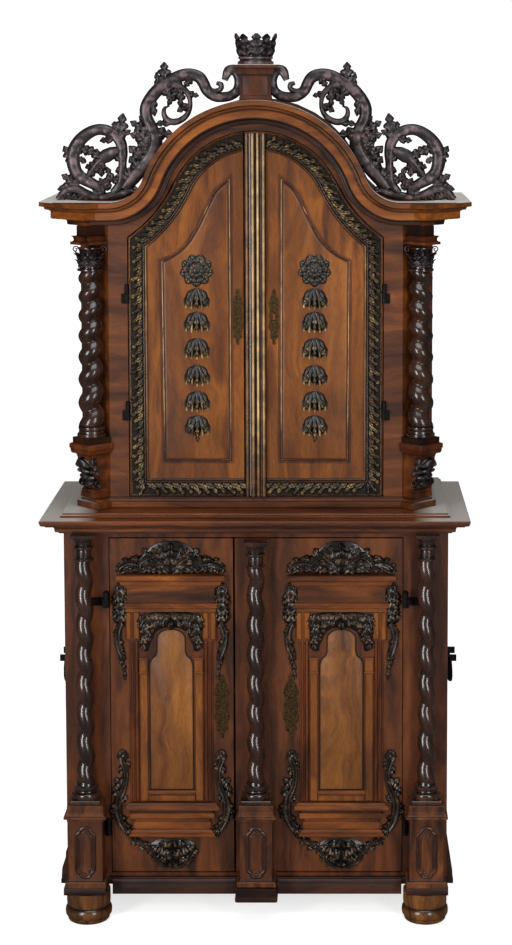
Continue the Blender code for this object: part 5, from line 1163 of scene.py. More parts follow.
def upright(line, i, slack, low):
    """Whether a point above a height lies on an upright stretch of an (x, z) line."""
    x, z = line[i]
    beside = (line[max(0, i - 1)], line[min(i + 1, len(line) - 1)])
    return z > low and min(abs(other - x) for other, _ in beside) < slack


def edge_bead(outline, inset, y, radius):
    """A thin half-round bead that runs round an anticlockwise (x, z) outline."""
    rings = []
    for angle in (0, 0.5, 1.05, pi / 2, 2.1, 2.65, pi):
        line = offset_line(outline, [-inset - radius * (1 - cos(angle))] * len(outline))
        rings.append([(x, y - radius * sin(angle), z) for x, z in line])
    back = offset_line(outline, [-inset - radius] * len(outline))
    rings.append([(x, y + 0.0005, z) for x, z in back])
    # Painted highlight: the upright stretches of the bead are coloured bright, the rest dull.
    bright = [1.0 if upright(outline, i, 0.0037, 1.40) else 0.25 for i in range(len(outline))]
    heights = (0.0, 0.2, 0.5, 0.75, 0.5, 0.2, 0.0, 0.0)
    return skin(rings, loop=True, relief=[h * share for h in heights for share in bright])


def upper_door(side, name):
    """Board, field, bead, groove and hinge barrels of one upper door."""
    body, node = f"upper_door_{name}_body", f"upper_door_{name}"
    inner = -ASTRAGAL_HALF if side > 0 else 0.0335
    board = layered(closed_door(0, inner, DOOR_HALF, DOOR_LOW), [(0, -0.1231), (0, -0.1465), (0.0005, -0.1470)])
    groove = layered(offset_line(FIELD, [0.006] * len(FIELD)), [(0, -0.1465), (0, -0.1474)])
    field = layered(FIELD, [(0.0062, -0.1470), (0.0062, -0.1486), (0.010, -0.1508), (0.0115, -0.1510)])
    bead = edge_bead(FIELD, 0.0005, -0.1472, 0.0024)
    for label, part, finish in (("door_board", board, DOOR_WALNUT), ("field_groove", groove, CASE_WALNUT),
                                ("door_field", field, PANEL_WALNUT), ("field_bead", bead, HIGHLIGHT_REEDS)):
        lay(f"{label}_{name}", on_side(side, [part]), finish, body, (node,))
    barrels = []
    for z in (1.4502, 1.7807):
        barrels.append(turned([(0.0035, z + 0.0006), (0.0062, z + 0.0010), (0.0062, z + 0.0240), (0.0048, z + 0.0250),
                               (0.0052, z + 0.0262), (0.0035, z + 0.0272)], 0.3605, -0.1535, 20))
    lay(f"upper_barrels_{name}", on_side(side, barrels), IRON, body, (node,))


for side, name in SIDES:
    upper_door(side, name)
print("field outline points:", len(FIELD))

# %% [markdown]
# ## The astragal
#
# A reeded strip on the right door covers the joint of the two. Its four reeds carry painted
# highlights along their crests, stronger on some reeds than on others, and weakest near the foot.

# %% Astragal
# Each reed: centre, radius and the strength of its painted highlight.
REEDS = ((-0.0240, 0.0050, 0.34), (-0.0075, 0.0060, 0.64), (0.0065, 0.0055, 0.74), (0.0225, 0.0060, 0.56))
reeds = [(-ASTRAGAL_HALF, -0.1474, 0.0), (-ASTRAGAL_HALF, -0.1555, 0.1)]
for centre, radius, bright in REEDS:
    for k in range(9):
        angle = pi - pi * k / 8
        reeds.append((centre + radius * cos(angle), -0.1562 - radius * 1.05 * sin(angle), bright * sin(angle) ** 4))
    reeds.append((centre + radius + 0.0004, -0.1545, 0.0))
reeds += [(ASTRAGAL_HALF, -0.1555, 0.1), (ASTRAGAL_HALF, -0.1474, 0.0)]
# Painted highlight strength at each height of the strip, weakest near the foot.
REED_HIGHLIGHT_BY_HEIGHT = ((DOOR_LOW, 0.30), (1.2450, 0.35), (1.3000, 0.55), (1.3600, 0.85), (1.4300, 1.0), (2.2285, 1.0))
brightness = [0.16 + bright * share for _, share in REED_HIGHLIGHT_BY_HEIGHT for _, _, bright in reeds]
lay("astragal_reeds", [skin([[(x, y, z) for x, y, _ in reeds] for z, _ in REED_HIGHLIGHT_BY_HEIGHT], relief=brightness)],
    HIGHLIGHT_REEDS, "upper_door_right_body", ("astragal",))
print("reeds:", len(REEDS))

# %% [markdown]
# ## The carved leaf band
#
# One short leaf is repeated along the band. All leaves lean the same way across it, each
# overlaps the next, and by turns they lean a little more and a little less, as a carver
# sets out a running leaf. That is a path with copies on it, so Geometry Nodes places them.

# %% Tree for a run of leaves
LEAF_SIZES, LEAF_SEED = (0.78, 1.02), 7


def leaf_run_tree():
    """Set copies of a leaf along a curve, all leaning one way, by turns by more and by less."""
    tree, given = new_tree("leaf run", (("Geometry", "Geometry"), ("Leaf", "Object"), ("Spacing", "Float"),
                                        ("Lean", "Float"), ("Sway", "Float"), ("Finish", "Material")))
    path = add(tree, "GeometryNodeMeshToCurve", {"Mesh": given["Geometry"]})
    even = add(tree, "GeometryNodeResampleCurve", {"Curve": path.outputs[0], "Length": given["Spacing"]},
               mode="LENGTH")
    along = add(tree, "GeometryNodeInputTangent")
    turn = add(tree, "FunctionNodeAxesToRotation", {0: along.outputs[0], 1: (0.0, 1.0, 0.0)},
               primary_axis="Z", secondary_axis="Y")
    odd = calc(tree, "MODULO", add(tree, "GeometryNodeInputIndex").outputs[0], 2.0)
    sway = calc(tree, "MULTIPLY_ADD", odd, 2.0, -1.0)
    lean = calc(tree, "MULTIPLY_ADD", sway, given["Sway"], given["Lean"])
    tilt = add(tree, "FunctionNodeEulerToRotation",
               {0: add(tree, "ShaderNodeCombineXYZ", {"Y": lean}).outputs[0]})
    both = add(tree, "FunctionNodeRotateRotation", {0: turn.outputs[0], 1: tilt.outputs[0]})
    both.rotation_space = "LOCAL"
    source = add(tree, "GeometryNodeObjectInfo", {"Object": given["Leaf"]})
    size = add(tree, "FunctionNodeRandomValue", {2: LEAF_SIZES[0], 3: LEAF_SIZES[1], "Seed": LEAF_SEED})
    copies = add(tree, "GeometryNodeInstanceOnPoints",
                 {"Points": even.outputs[0], "Instance": source.outputs["Geometry"], "Rotation": both.outputs[0],
                  "Scale": size.outputs[1]})
    return finished_tree(tree, copies, given["Finish"])


LEAF_RUN = leaf_run_tree()
print("trees:", [group.name for group in bpy.data.node_groups])

# %% [markdown]
# ## Leaf bands on the upper doors
#
# Under the leaves lies a thin strip, painted black as the shade among them, with two fine
# beads and a stouter one along its edges. The beads are painted brighter, as highlights,
# where they stand upright than along the foot and the head.

# %% Leaf bands on the upper doors
STRIP_FRONT, STRIP_EDGES = -0.1492, (0.003, 0.0525)
BAND_BEADS = ((0.0045, 0.0022), (0.0425, 0.0022), (0.0490, 0.0034))
BEAD_STEPS, STOUT_BEAD = 6, 0.003


def leaf_band(side, name):
    """The strip, its edge beads and the run of leaves on one upper door."""
    body, node = f"upper_door_{name}_body", f"door_frame_carving_{name}"
    start = 0.0312 if side > 0 else 0.0345

    def path(inset):
        outer, low = DOOR_HALF - inset, DOOR_LOW + inset - STRIP_EDGES[0]
        return [(start, low), (outer, low)] + door_head(inset, start, outer)[::-1]

    strip = path(STRIP_EDGES[0]) + path(STRIP_EDGES[1])[::-1]
    strip = layered(strip, [(0, -0.1474), (0, -0.1488), (0.0006, STRIP_FRONT)])
    # The strip is painted black as the shade among the leaves.
    lay(f"band_strip_{name}", on_side(side, [strip]), BLACK_GROUND, body, (node,))
    beads = []
    for inset, radius in BAND_BEADS:
        line, rings, relief = path(inset), [], []
        for k in range(BEAD_STEPS + 1):
            angle = pi * k / BEAD_STEPS
            moved = offset_line(line, [radius * cos(angle)] * (len(line) - 1), closed=False)
            rings.append([(x, STRIP_FRONT - radius * 1.25 * sin(angle), z) for x, z in moved])
        for i in range(len(line)):
            # Painted highlight: the upright stretches of a bead are coloured brighter, the stout bead most.
            bright = (0.62 if radius > STOUT_BEAD else 0.26) if upright(line, i, 0.002, 1.30) else 0.20
            relief += [bright * sin(pi * k / BEAD_STEPS) for k in range(BEAD_STEPS + 1)]
        beads.append(skin([[ring[i] for ring in rings] for i in range(len(line))], relief=relief))
    lay(f"band_beads_{name}", on_side(side, beads), HIGHLIGHT_REEDS, body, (node,))

    shape = bpy.data.meshes.new("band leaf")
    verts, faces, relief = leaf(0.0440, 0.019, 0.0080, 2, 0.06, cols=6, root=0.6, blunt=0.6)
    shape.from_pydata([(side * x, y, z) for x, y, z in verts], [], faces)
    store(shape, "relief", relief)
    one_leaf = bpy.data.objects.new("band leaf", shape)
    line = bpy.data.meshes.new("band line")
    points = [(side * x, -0.1500, z) for x, z in path(0.0385)[::-1]]
    line.from_pydata(points, [(i, i + 1) for i in range(len(points) - 1)], [])
    grown(f"band_leaves_{name}", LEAF_RUN,
          {"Leaf": one_leaf, "Spacing": 0.0118, "Lean": radians(-46) * side, "Sway": radians(9),
           "Finish": CARVED_OLIVE}, Matrix(), body, (node,), base=line)
    bpy.data.objects.remove(one_leaf)


for side, name in SIDES:
    leaf_band(side, name)
print("leaf bands made")

# %% [markdown]
# ## Carving set out from tables
#
# For the drops, portals and crest the carver works from a drawing. Here the drawing is a
# table: where each leaf starts, which way it points in degrees clockwise from straight up,
# and how long and wide it is, in millimetres. Bands are rows of points with their widths.

# %% Tables to carved parts
def sprays(rows, x0, z0, y, depth=0.012, curl=0.06):
    """Leaves from rows of (x, z, angle, length, width) in millimetres, from an origin."""
    made = []
    for x, z, angle, long, wide in rows:
        blade = leaf(long / 1000, wide / 1000, min(depth, wide / 2200), max(2, round(long / 23)), curl, cols=6)
        root = Matrix.Translation((0, 0, -0.15 * long / 1000))
        made.append(placed(blade, turned_to(angle, x0 + x / 1000, y, z0 + z / 1000) @ root))
    return made


def bands(rows, x0, z0, y, front, back=0.0, flute=0.5, facets=0.0):
    """Ribbons from rows of (points, widths) in millimetres, from an origin."""
    made = []
    for points, widths in rows:
        line = [(x0 + x / 1000, z0 + z / 1000) for x, z in points]
        part = ribbon(line, [w / 1000 for w in widths], front, back, flute, facets)
        made.append(placed(part, Matrix.Translation((0, y, 0))))
    return made


def both_sides(parts, x0):
    """The parts and their mirror images in an upright line at x0."""
    return parts + mirrored(parts, x0)


print("one leaf of a table has points:", len(sprays([(0, 0, 0, 40, 24)], 0, 0, 0)[0][0]))

# %% [markdown]
# ## Drops on the upper doors
#
# A rosette hangs on each field over six bell-flowers, one under the other, with a small
# leaf below the last. Each bell is fluted and opens downwards, and three small leaves grow
# out of it.

# %% Drops of the upper doors
DROP_X, DROP_Y, ROSETTE_Z = 0.165, -0.1508, 1.846
HUSK_TOPS = (1.7955, 1.7295, 1.6550, 1.5790, 1.5050, 1.4360)
HUSK_LENGTH, HUSK_HALF, HUSK_FLUTES, HUSK_ROWS = 0.060, 0.0375, 5, 12
HUSK_LEAVES = ((-15, 4, 208, 32, 17), (15, 4, 152, 32, 17), (0, 8, 180, 36, 17))


def husk(x, y, top):
    """A bell-flower: a bell with flutes that end in separate rounded tips."""
    rings, relief, cols = [], [], 8 * HUSK_FLUTES
    for r in range(HUSK_ROWS + 1):
        t = r / HUSK_ROWS
        shoulder = sqrt(1 - (1 - min(1.0, (t + 0.01) / 0.40)) ** 2)
        half = HUSK_HALF * (0.80 * shoulder + 0.20 * max(0.0, (t - 0.40) / 0.60))
        front, back = [], []
        for c in range(cols + 1):
            s = 2 * c / cols - 1
            flute = 1 - (1 - abs(sin(pi * HUSK_FLUTES * (s + 1) / 2))) * min(1.0, 0.15 + 1.1 * t)
            drop_z = HUSK_LENGTH * t * (1 - 0.12 * s * s) - (1 - flute) * 0.030 * max(0.0, t - 0.30)
            swell = 0.002 + 0.0085 * sqrt(max(0.0, 1 - s * s)) * sin(pi * (0.12 + 0.70 * t))
            front.append((x + half * s, y - swell * (0.45 + 0.55 * flute), top - drop_z))
            back.append((x + half * s, y + 0.0004, top - drop_z))
            # Painted highlight: the flute ridges take more relief lower down, so they are coloured a brighter gold.
            relief.append(min(1.0, flute ** 2 * (0.25 + 1.0 * t)))
        rings.append(front + back[::-1])
        relief += [0.1] * (cols + 1)
    return skin(rings, relief=relief)


def drop(side, name):
    """A rosette over six bell-flowers, all on one upper door's field."""
    parts = rosette(DROP_X, DROP_Y, ROSETTE_Z, 0.0475, 0.010, 9)
    for top in HUSK_TOPS:
        parts.append(husk(DROP_X, DROP_Y, top))
        parts += sprays(HUSK_LEAVES, DROP_X, top - HUSK_LENGTH / 2, DROP_Y - 0.0060, 0.006, 0.10)
    parts += sprays([(0, 0, 180, 34, 16)], DROP_X, 1.389, DROP_Y, 0.006, 0.0)
    lay(f"carved_drop_{name}", on_side(side, parts), CARVED_OLIVE, f"upper_door_{name}_body",
        (f"husk_drop_{name}",))


for side, name in SIDES:
    drop(side, name)
print("bell-flowers in each drop:", len(HUSK_TOPS))

# %% [markdown]
# ## Lower doors and their portals
#
# Each lower door is a flat veneered board with a small building applied to it: pilasters
# on a moulded foot, an eared frame, an entablature, and an arched field of burr veneer.
# Carved leaves crown it, hang at its sides and spread below it. The mouldings are low, so
# each is a stack of straight runs, swells and hollows that is wider where it stands prouder.

# %% Portal joinery
PORTAL_X, PORTAL_BACK = 0.2405, -0.1904
LOWER_BOARD_LOW, LOWER_BOARD_HIGH, LOWER_BOARD_OUTER = 0.1249, 1.0932, 0.413
# Strips on both sides of a portal's middle: inner and outer distance, low, high, depth, bevel.
GROUND_STRIPS = ((0.0915, 0.1040, 0.331, 0.8000, 0.0085, 0.0040),
                 (0.1050, 0.1150, 0.331, 0.8000, 0.0070, 0.0033),
                 (0.0870, 0.1285, 0.7990, 0.905, 0.0060, 0.0012))
FACE_STRIPS = ((0.0675, 0.0885, 0.3360, 0.7060, 0.0105, 0.0016),
               (0.0885, 0.1060, 0.8050, 0.8840, 0.0100, 0.0030),
               (0.1105, 0.1280, 0.8020, 0.8840, 0.0090, 0.0040),
               (0.0655, 0.0905, 0.7100, 0.7480, 0.0125, 0.0025),
               (0.0645, 0.0915, 0.7065, 0.7105, 0.0140, 0.0018),
               (0.0645, 0.0915, 0.7470, 0.7510, 0.0140, 0.0018))
BARREL_X, BARREL_Y, BARREL_HEIGHTS = 0.42, -0.218, (0.2653, 0.9237)
BARREL_RINGS = ((0.0045, 0.0006), (0.0085, 0.0010), (0.0085, 0.0215), (0.0068, 0.0226), (0.0072, 0.0238),
                (0.0040, 0.0262))


def stacked(section, half_at, x0):
    """A low moulding across a portal from (depth, z) points; its half width follows its depth."""
    rings, section = [], stepped(section)
    for depth, z in section:
        half = half_at(depth)
        rings.append([(x0 - half, PORTAL_BACK - depth, z), (x0 + half, PORTAL_BACK - depth, z),
                      (x0 + half, PORTAL_BACK, z), (x0 - half, PORTAL_BACK, z)])
    return skin(rings, relief=[c for c in unshaded_share([d for d, _ in section], 0.004) for _ in range(4)])


def slab(x0, inner, outer, low, high, depth, bevel=0.0012):
    """A flat strip on the portal, with small bevels, between two distances from its middle."""
    outline = [(x0 + inner, low), (x0 + outer, low), (x0 + outer, high), (x0 + inner, high)]
    return layered(outline, [(0, PORTAL_BACK), (0, PORTAL_BACK - depth + bevel), (bevel, PORTAL_BACK - depth)])


def pairs(x0, rows):
    """Strips to the left and the right of a portal's middle, one for each row of a table."""
    return [slab(x0, *sorted((s * inner, s * outer)), *rest) for s in (-1, 1) for inner, outer, *rest in rows]


ARCH_FIELD = [(-0.0595, 0.3695), (0.0595, 0.3695), (0.0595, 0.7240)] + \
    [tuple(p) for p in smooth_line([(0.0590, 0.7330), (0.0530, 0.7470), (0.0430, 0.7560), (0.0385, 0.7700)], 3)] + \
    [(0.0385 * cos(a), 0.8050 + 0.027 * sin(a)) for a in [pi / 2 * k / 6 for k in range(6)]]
ARCH_FIELD += [(-x, z) for x, z in reversed(ARCH_FIELD[2:])]


def portal(side, name):
    """All joinery of one portal."""
    x0 = side * PORTAL_X
    body, node = f"lower_door_{name}_body", f"portal_{name}"
    inner = -0.060 if side > 0 else 0.065
    edge = [(side * x, z) for x, z in block_plan(inner, LOWER_BOARD_OUTER, LOWER_BOARD_LOW, LOWER_BOARD_HIGH)]
    board = layered(edge if side > 0 else edge[::-1], [(0, -0.1661), (0, -0.1893), (0.0007, -0.1900)])
    lay(f"lower_board_{name}", [board], FRAME_WALNUT, body, (f"lower_door_{name}",))

    dark = [slab(x0, -0.1175, 0.1175, 0.331, 0.905, 0.0045)] + pairs(x0, GROUND_STRIPS)
    lay(f"portal_ground_{name}", dark, CASE_WALNUT, body, (node,))
    strips = pairs(x0, FACE_STRIPS) + [slab(x0, -0.0660, 0.0660, 0.3355, 0.3520, 0.0095)]
    lay(f"portal_strips_{name}", strips, DOOR_WALNUT, body, (node,))

    sill = profile((0.006, 0.3535), (0.0105, 0.3540), ("swell", 0.0125, 0.3580), (0.0125, 0.3605),
                   ("hollow", 0.0095, 0.3660), (0.006, 0.3665))
    head = profile((0.0100, 0.8845), (0.0130, 0.8850), (0.0130, 0.8925), (0.0118, 0.8935),
                   ("swell", 0.0138, 0.8990), (0.0138, 0.9040), ("swell", 0.0150, 0.9075),
                   (0.0150, 0.9090), (0.0120, 0.9110), (0.0120, 0.9535), (0.0135, 0.9545),
                   (0.0135, 0.9590), (0.0142, 0.9600), ("swell", 0.0172, 0.9720), (0.0176, 0.9745),
                   (0.0192, 0.9755), (0.0198, 0.9765), (0.0198, 0.9880), (0.0190, 0.9890),
                   (0.0060, 0.9930))
    base = profile((0.0060, 0.2300), (0.0150, 0.2325), (0.0155, 0.2335), (0.0155, 0.2405),
                   (0.0140, 0.2415), ("hollow", 0.0100, 0.2520), (0.0100, 0.2550),
                   ("swell", 0.0115, 0.2600), (0.0115, 0.2745), (0.0100, 0.2755), (0.0100, 0.2830),
                   ("swell", 0.0150, 0.2900), (0.0150, 0.3000), (0.0130, 0.3015), (0.0130, 0.3090),
                   (0.0185, 0.3105), (0.0198, 0.3125), (0.0198, 0.3210), (0.0180, 0.3235),
                   ("hollow", 0.0110, 0.3320), (0.0090, 0.3325))
    parts = [stacked(sill, lambda d: 0.0640 + d * 0.3, x0),
             stacked(head, lambda d: 0.1235 + max(0.0, d - 0.012) * 3.7, x0),
             stacked(base, lambda d: 0.1050 + max(0.0, d - 0.010) * 2.9, x0)]
    lay(f"portal_mouldings_{name}", parts, PORTAL_WALNUT, body, (node,))

    moved = [(x0 + x, z) for x, z in ARCH_FIELD]
    groove = layered(moved, [(-0.0042, PORTAL_BACK), (-0.0042, PORTAL_BACK - 0.0052),
                             (-0.0030, PORTAL_BACK - 0.0060)])
    field = layered(moved, [(0, PORTAL_BACK), (0, PORTAL_BACK - 0.0066), (0.0025, PORTAL_BACK - 0.0082)])
    # The groove round the arched field is painted black as shade.
    lay(f"arch_groove_{name}", [groove], BLACK_GROUND, body, (node,))
    lay(f"arch_field_{name}", [field], BURR_WALNUT, body, (node,))
    barrels = [turned([(r, z + h) for r, h in BARREL_RINGS], side * BARREL_X, BARREL_Y, 24) for z in BARREL_HEIGHTS]
    lay(f"lower_barrels_{name}", barrels, IRON, body, (f"lower_door_{name}",))


for side, name in SIDES:
    portal(side, name)
print("strips on each portal:", 2 * len(FACE_STRIPS) + 1)

# %% [markdown]
# ## Portal carving
#
# Five groups of leaves are glued to each portal: the crest over the entablature, the side
# drops, the swag in the arch, the low drops beside the foot and the pendant below it. Three
# of them are cut from one thin board, painted dark as the shade between the leaves. One wing
# of the left portal's foot carving, the one towards the middle, is broken away.

# %% Portal carving
CREST_Z, SIDE_Z, SWAG_Z, LOW_Z, PENDANT_Z = 0.9940, 0.7270, 0.7450, 0.2265, 0.1290
CREST_LEAVES = [(0, 30, 0, 71, 40), (9, 30, 26, 67, 35), (15, 28, 50, 63, 32), (24, 22, 72, 56, 30),
                (0, 4, 0, 43, 52), (10, 4, 40, 43, 32), (58, 46, 40, 39, 28), (42, 42, 12, 41, 28),
                (78, 34, 66, 39, 28), (96, 30, 40, 28, 22), (108, 28, 66, 39, 25), (124, 20, 88, 37, 25),
                (52, 12, 98, 43, 30), (22, 8, 90, 45, 30), (92, 12, 96, 37, 25), (126, 8, 96, 37, 20)]
CREST_BANDS = [([(12, 18), (30, 38), (55, 48), (80, 36), (89, 18), (76, 8), (66, 17)],
                [12, 14, 15, 14, 12, 10, 5]),
               ([(84, 24), (105, 33), (130, 27), (146, 13), (138, 4), (128, 10)], [10, 12, 12, 11, 9, 4])]
SIDE_LEAVES = [(143, 218, 180, 48, 46), (133, 205, 200, 41, 27), (152, 205, 160, 41, 27), (143, 180, 180, 48, 46),
               (133, 160, 202, 37, 24), (152, 160, 158, 37, 24), (142, 142, 180, 45, 40), (150, 105, 168, 37, 27),
               (150, 75, 196, 39, 30), (146, 50, 214, 32, 24), (138, 30, 176, 37, 24), (134, 0, 180, 26, 16),
               (132, -22, 180, 24, 14)]
SIDE_BANDS = [([(130, 212), (134, 230), (150, 232), (154, 216), (143, 210)], [8, 11, 12, 10, 5]),
              ([(143, 120), (152, 90), (147, 52), (135, 22)], [14, 20, 19, 12])]
SWAG_LEAVES = [(72, 128, 182, 52, 48), (58, 126, 200, 45, 30), (84, 122, 172, 43, 28), (74, 92, 180, 48, 40),
               (64, 78, 190, 32, 22), (78, 60, 178, 39, 32), (0, 132, 180, 54, 42), (15, 130, 158, 48, 30),
               (34, 132, 170, 45, 35), (48, 130, 190, 48, 30), (52, 104, 186, 37, 25)]
SWAG_BANDS = [([(0, 128), (25, 132), (52, 130), (78, 118), (86, 100)], [12, 13, 13, 12, 8])]
LOW_LEAVES = [(137, 228, 14, 37, 36), (131, 200, 340, 30, 22), (138, 186, 30, 32, 25), (140, 160, 340, 32, 25),
              (146, 150, 36, 37, 28), (154, 122, 20, 39, 31), (148, 108, 300, 30, 25), (160, 96, 150, 39, 31),
              (152, 70, 120, 32, 28), (146, 62, 200, 37, 31), (134, 36, 214, 37, 28), (128, 18, 190, 28, 22)]
LOW_BANDS = [([(126, 232), (134, 246), (146, 238), (140, 222), (131, 190), (136, 150), (150, 118), (156, 85),
               (148, 48), (132, 20)], [8, 14, 18, 18, 16, 18, 24, 26, 22, 14])]
PENDANT_LEAVES = [(0, 84, 180, 52, 50), (0, 48, 180, 50, 55), (16, 56, 158, 48, 30), (32, 62, 146, 45, 30),
                  (48, 70, 130, 39, 28), (22, 84, 150, 43, 30), (52, 50, 170, 30, 22), (30, 36, 150, 32, 25)]
WING_LEAVES = [(70, 78, 122, 39, 27), (92, 88, 112, 37, 24), (104, 92, 70, 28, 22)]
WING_BANDS = [([(120, 96), (96, 86), (72, 70), (52, 48)], [8, 13, 14, 13])]
PENDANT_BANDS = [([(56, 56), (44, 30), (24, 12), (6, 10)], [13, 14, 13, 8])]
# Leaves, bands, height of the origin, how far the group stands off the board, thickness of the bands.
CARVED_GROUPS = ((CREST_LEAVES, CREST_BANDS, CREST_Z, 0.0, 0.015), (SIDE_LEAVES, SIDE_BANDS, SIDE_Z, 0.0, 0.013),
                 (SWAG_LEAVES, SWAG_BANDS, SWAG_Z, 0.005, 0.012), (LOW_LEAVES, LOW_BANDS, LOW_Z, 0.0, 0.014),
                 (PENDANT_LEAVES, PENDANT_BANDS, PENDANT_Z, 0.0, 0.014))
# The boards, painted dark as the shade between the leaves: height of the origin, thickness, right half of the
# outline.
GROUNDS = ((CREST_Z, 0.005, ((0, 92), (20, 92), (40, 85), (58, 73), (70, 59), (83, 46), (100, 38), (126, 38),
                             (144, 28), (148, 10), (144, 1), (0, 1))),
           (SWAG_Z, 0.0095, ((0, 133), (68, 133), (84, 121), (88, 100), (88, 64), (84, 38), (74, 24), (64, 26),
                             (61, 44), (52, 62), (46, 80), (22, 92), (0, 93))),
           (PENDANT_Z, 0.004, ((0, 94), (38, 92), (60, 82), (66, 70), (56, 50), (38, 26), (20, 12), (0, 8))))


def ground(x0, z0, y, depth, half):
    """The thin board that a group of carving is cut from, painted dark as the shade between its leaves."""
    right = [(x0 + x / 1000, z0 + z / 1000) for x, z in reversed(half)]
    left = [(2 * x0 - x, z) for x, z in reversed(right)]
    verts, faces, _ = layered(right[:-1] + left[:-1], [(0, y), (0, y - depth + 0.0015), (0.002, y - depth)])
    return verts, faces, [0.3] * len(verts)


def portal_carving(side, name):
    """Crest, side drops, hanging carving and foot carving of one portal."""
    x0, y, half = side * PORTAL_X, PORTAL_BACK + 0.0008, []
    for leaves, ribbons, z0, lift, thick in CARVED_GROUPS:
        half += sprays(leaves, x0, z0, y - lift) + bands(ribbons, x0, z0, y - lift, thick)
    parts = both_sides(half, x0) + [ground(x0, z0, y, depth, outline) for z0, depth, outline in GROUNDS]
    wing = sprays(WING_LEAVES, x0, PENDANT_Z, y) + bands(WING_BANDS, x0, PENDANT_Z, y, 0.013)
    parts += both_sides(wing, x0) if side > 0 else mirrored(wing, x0)
    lay(f"portal_carving_{name}", parts, CARVED_PORTAL, f"lower_door_{name}_body", (f"portal_{name}",))


for side, name in SIDES:
    portal_carving(side, name)
print("groups of carving on each portal:", len(CARVED_GROUPS))

# %% [markdown]
# ## The pierced crest
#
# The crest is sawn from a board, pierced and carved: one great scroll falls from the block
# to the cornice, a small one curls back inside it, and a third makes a loop over the canted
# corner. Leaves break out where they part. It stands upright just behind the front.

# %% Crest
MAIN_SCROLL = ([(80, 375), (69, 400), (49, 401), (38, 377), (43, 349), (61, 333), (84, 328), (108, 330), (129, 346),
                (139, 366), (151, 383), (173, 391), (201, 388), (232, 373), (263, 352), (287, 325), (301, 297),
                (299, 270), (285, 240), (275, 216), (277, 191), (292, 160), (315, 129), (339, 101), (364, 70)],
               [16, 28, 30, 29, 27, 26, 27, 28, 30, 31, 32, 32, 33, 34, 34, 34, 33, 32, 33, 35, 38, 40, 40, 38, 30])
CREST_SCROLLS = [
    ([(103, 367), (91, 363), (91, 351), (106, 344), (127, 346)], [10, 15, 14, 15, 19]),
    ([(235, 364), (208, 358), (185, 340), (177, 316), (180, 290), (194, 270), (216, 259), (237, 261), (250, 277),
      (249, 296), (235, 303)], [22, 20, 16, 12, 13, 16, 18, 18, 14, 10, 3]),
    ([(394, 58), (375, 84), (370, 115), (368, 146), (368, 173), (373, 201), (389, 222), (414, 235), (442, 236),
      (469, 223), (492, 201), (506, 173), (507, 146), (499, 118), (480, 99), (457, 87), (437, 75), (428, 61),
      (440, 55), (451, 65)], [24, 26, 22, 22, 28, 30, 30, 30, 30, 33, 35, 36, 36, 34, 32, 30, 26, 22, 20, 16]),
    ([(372, 182), (396, 172), (414, 163), (427, 156), (429, 155)], [16, 34, 38, 32, 12]),
    ([(424, 160), (438, 144), (452, 124), (468, 104)], [12, 16, 16, 14]),
    ([(340, 66), (368, 58), (401, 49), (435, 45), (469, 55), (500, 70), (525, 67), (552, 42)],
     [16, 24, 26, 24, 24, 26, 22, 14])]
CREST_SPRAYS = [
    (249, 370, 0, 66, 43), (266, 358, 8, 48, 22), (177, 380, 150, 32, 29), (203, 354, 178, 66, 32),
    (216, 346, 150, 58, 29), (180, 337, 258, 34, 22), (185, 304, 120, 40, 26), (235, 259, 100, 48, 26),
    (301, 284, 140, 34, 26), (285, 225, 60, 83, 43), (294, 208, 72, 66, 39), (270, 228, 262, 55, 39),
    (277, 211, 200, 45, 36), (296, 184, 60, 42, 32), (325, 129, 35, 48, 36), (349, 101, 40, 48, 36),
    (359, 70, 262, 45, 32), (304, 142, 200, 34, 26), (377, 216, 350, 80, 46), (389, 232, 2, 34, 26),
    (438, 165, 58, 58, 32), (473, 146, 60, 23, 19), (447, 139, 110, 34, 26), (428, 139, 180, 42, 29),
    (452, 122, 150, 40, 26), (411, 70, 0, 37, 26), (459, 101, 75, 32, 22), (399, 211, 100, 40, 26),
    (509, 146, 28, 61, 36), (497, 87, 62, 58, 36), (504, 77, 100, 58, 36), (525, 60, 115, 34, 32),
    (480, 60, 150, 40, 32), (504, 53, 170, 34, 29), (380, 91, 60, 40, 26), (373, 156, 70, 40, 26),
    (368, 122, 275, 32, 22), (290, 175, 150, 58, 43), (312, 140, 150, 58, 43), (336, 110, 148, 58, 43),
    (286, 232, 178, 53, 39), (372, 190, 178, 53, 36), (372, 130, 178, 58, 36), (240, 372, 240, 53, 36),
    (378, 216, 300, 47, 25), (492, 186, 252, 59, 34), (490, 155, 262, 21, 18), (429, 150, 140, 70, 40),
    (428, 146, 178, 47, 27), (436, 140, 110, 36, 22), (508, 92, 60, 36, 25), (503, 80, 104, 55, 34),
    (514, 64, 124, 55, 36), (484, 56, 160, 36, 31), (470, 50, 200, 32, 29), (400, 96, 20, 47, 25),
    (418, 74, 30, 38, 25), (410, 96, 150, 53, 29), (424, 84, 120, 42, 27), (300, 196, 40, 64, 40),
    (318, 160, 46, 53, 36), (322, 170, 330, 47, 31), (296, 232, 320, 36, 27), (250, 352, 215, 49, 31),
    (216, 372, 205, 42, 29), (284, 318, 190, 53, 29), (232, 362, 165, 38, 27)]
CREST_Y, CREST_BASE, CREST_SHIFT, CREST_HEAVIER = -0.085, 2.0, 0.007, 1.05
CREST_THICK, CREST_ROUND, CREST_FACETS = 0.0122, -0.10, 0.22


def roof_height(x):
    """Height of the case's top edge at a distance from the middle."""
    x, bend = abs(x), ARCH_R * sin(ARCH_TURN)
    centre_x, centre_z = (ARCH_R + COVE_R) * sin(ARCH_TURN), ARCH_Z + (ARCH_R + COVE_R) * cos(ARCH_TURN)
    if x < bend:
        return ARCH_Z + sqrt(ARCH_R ** 2 - x ** 2)
    return centre_z - sqrt(COVE_R ** 2 - (x - centre_x) ** 2) if x < centre_x else CORNICE_TOP


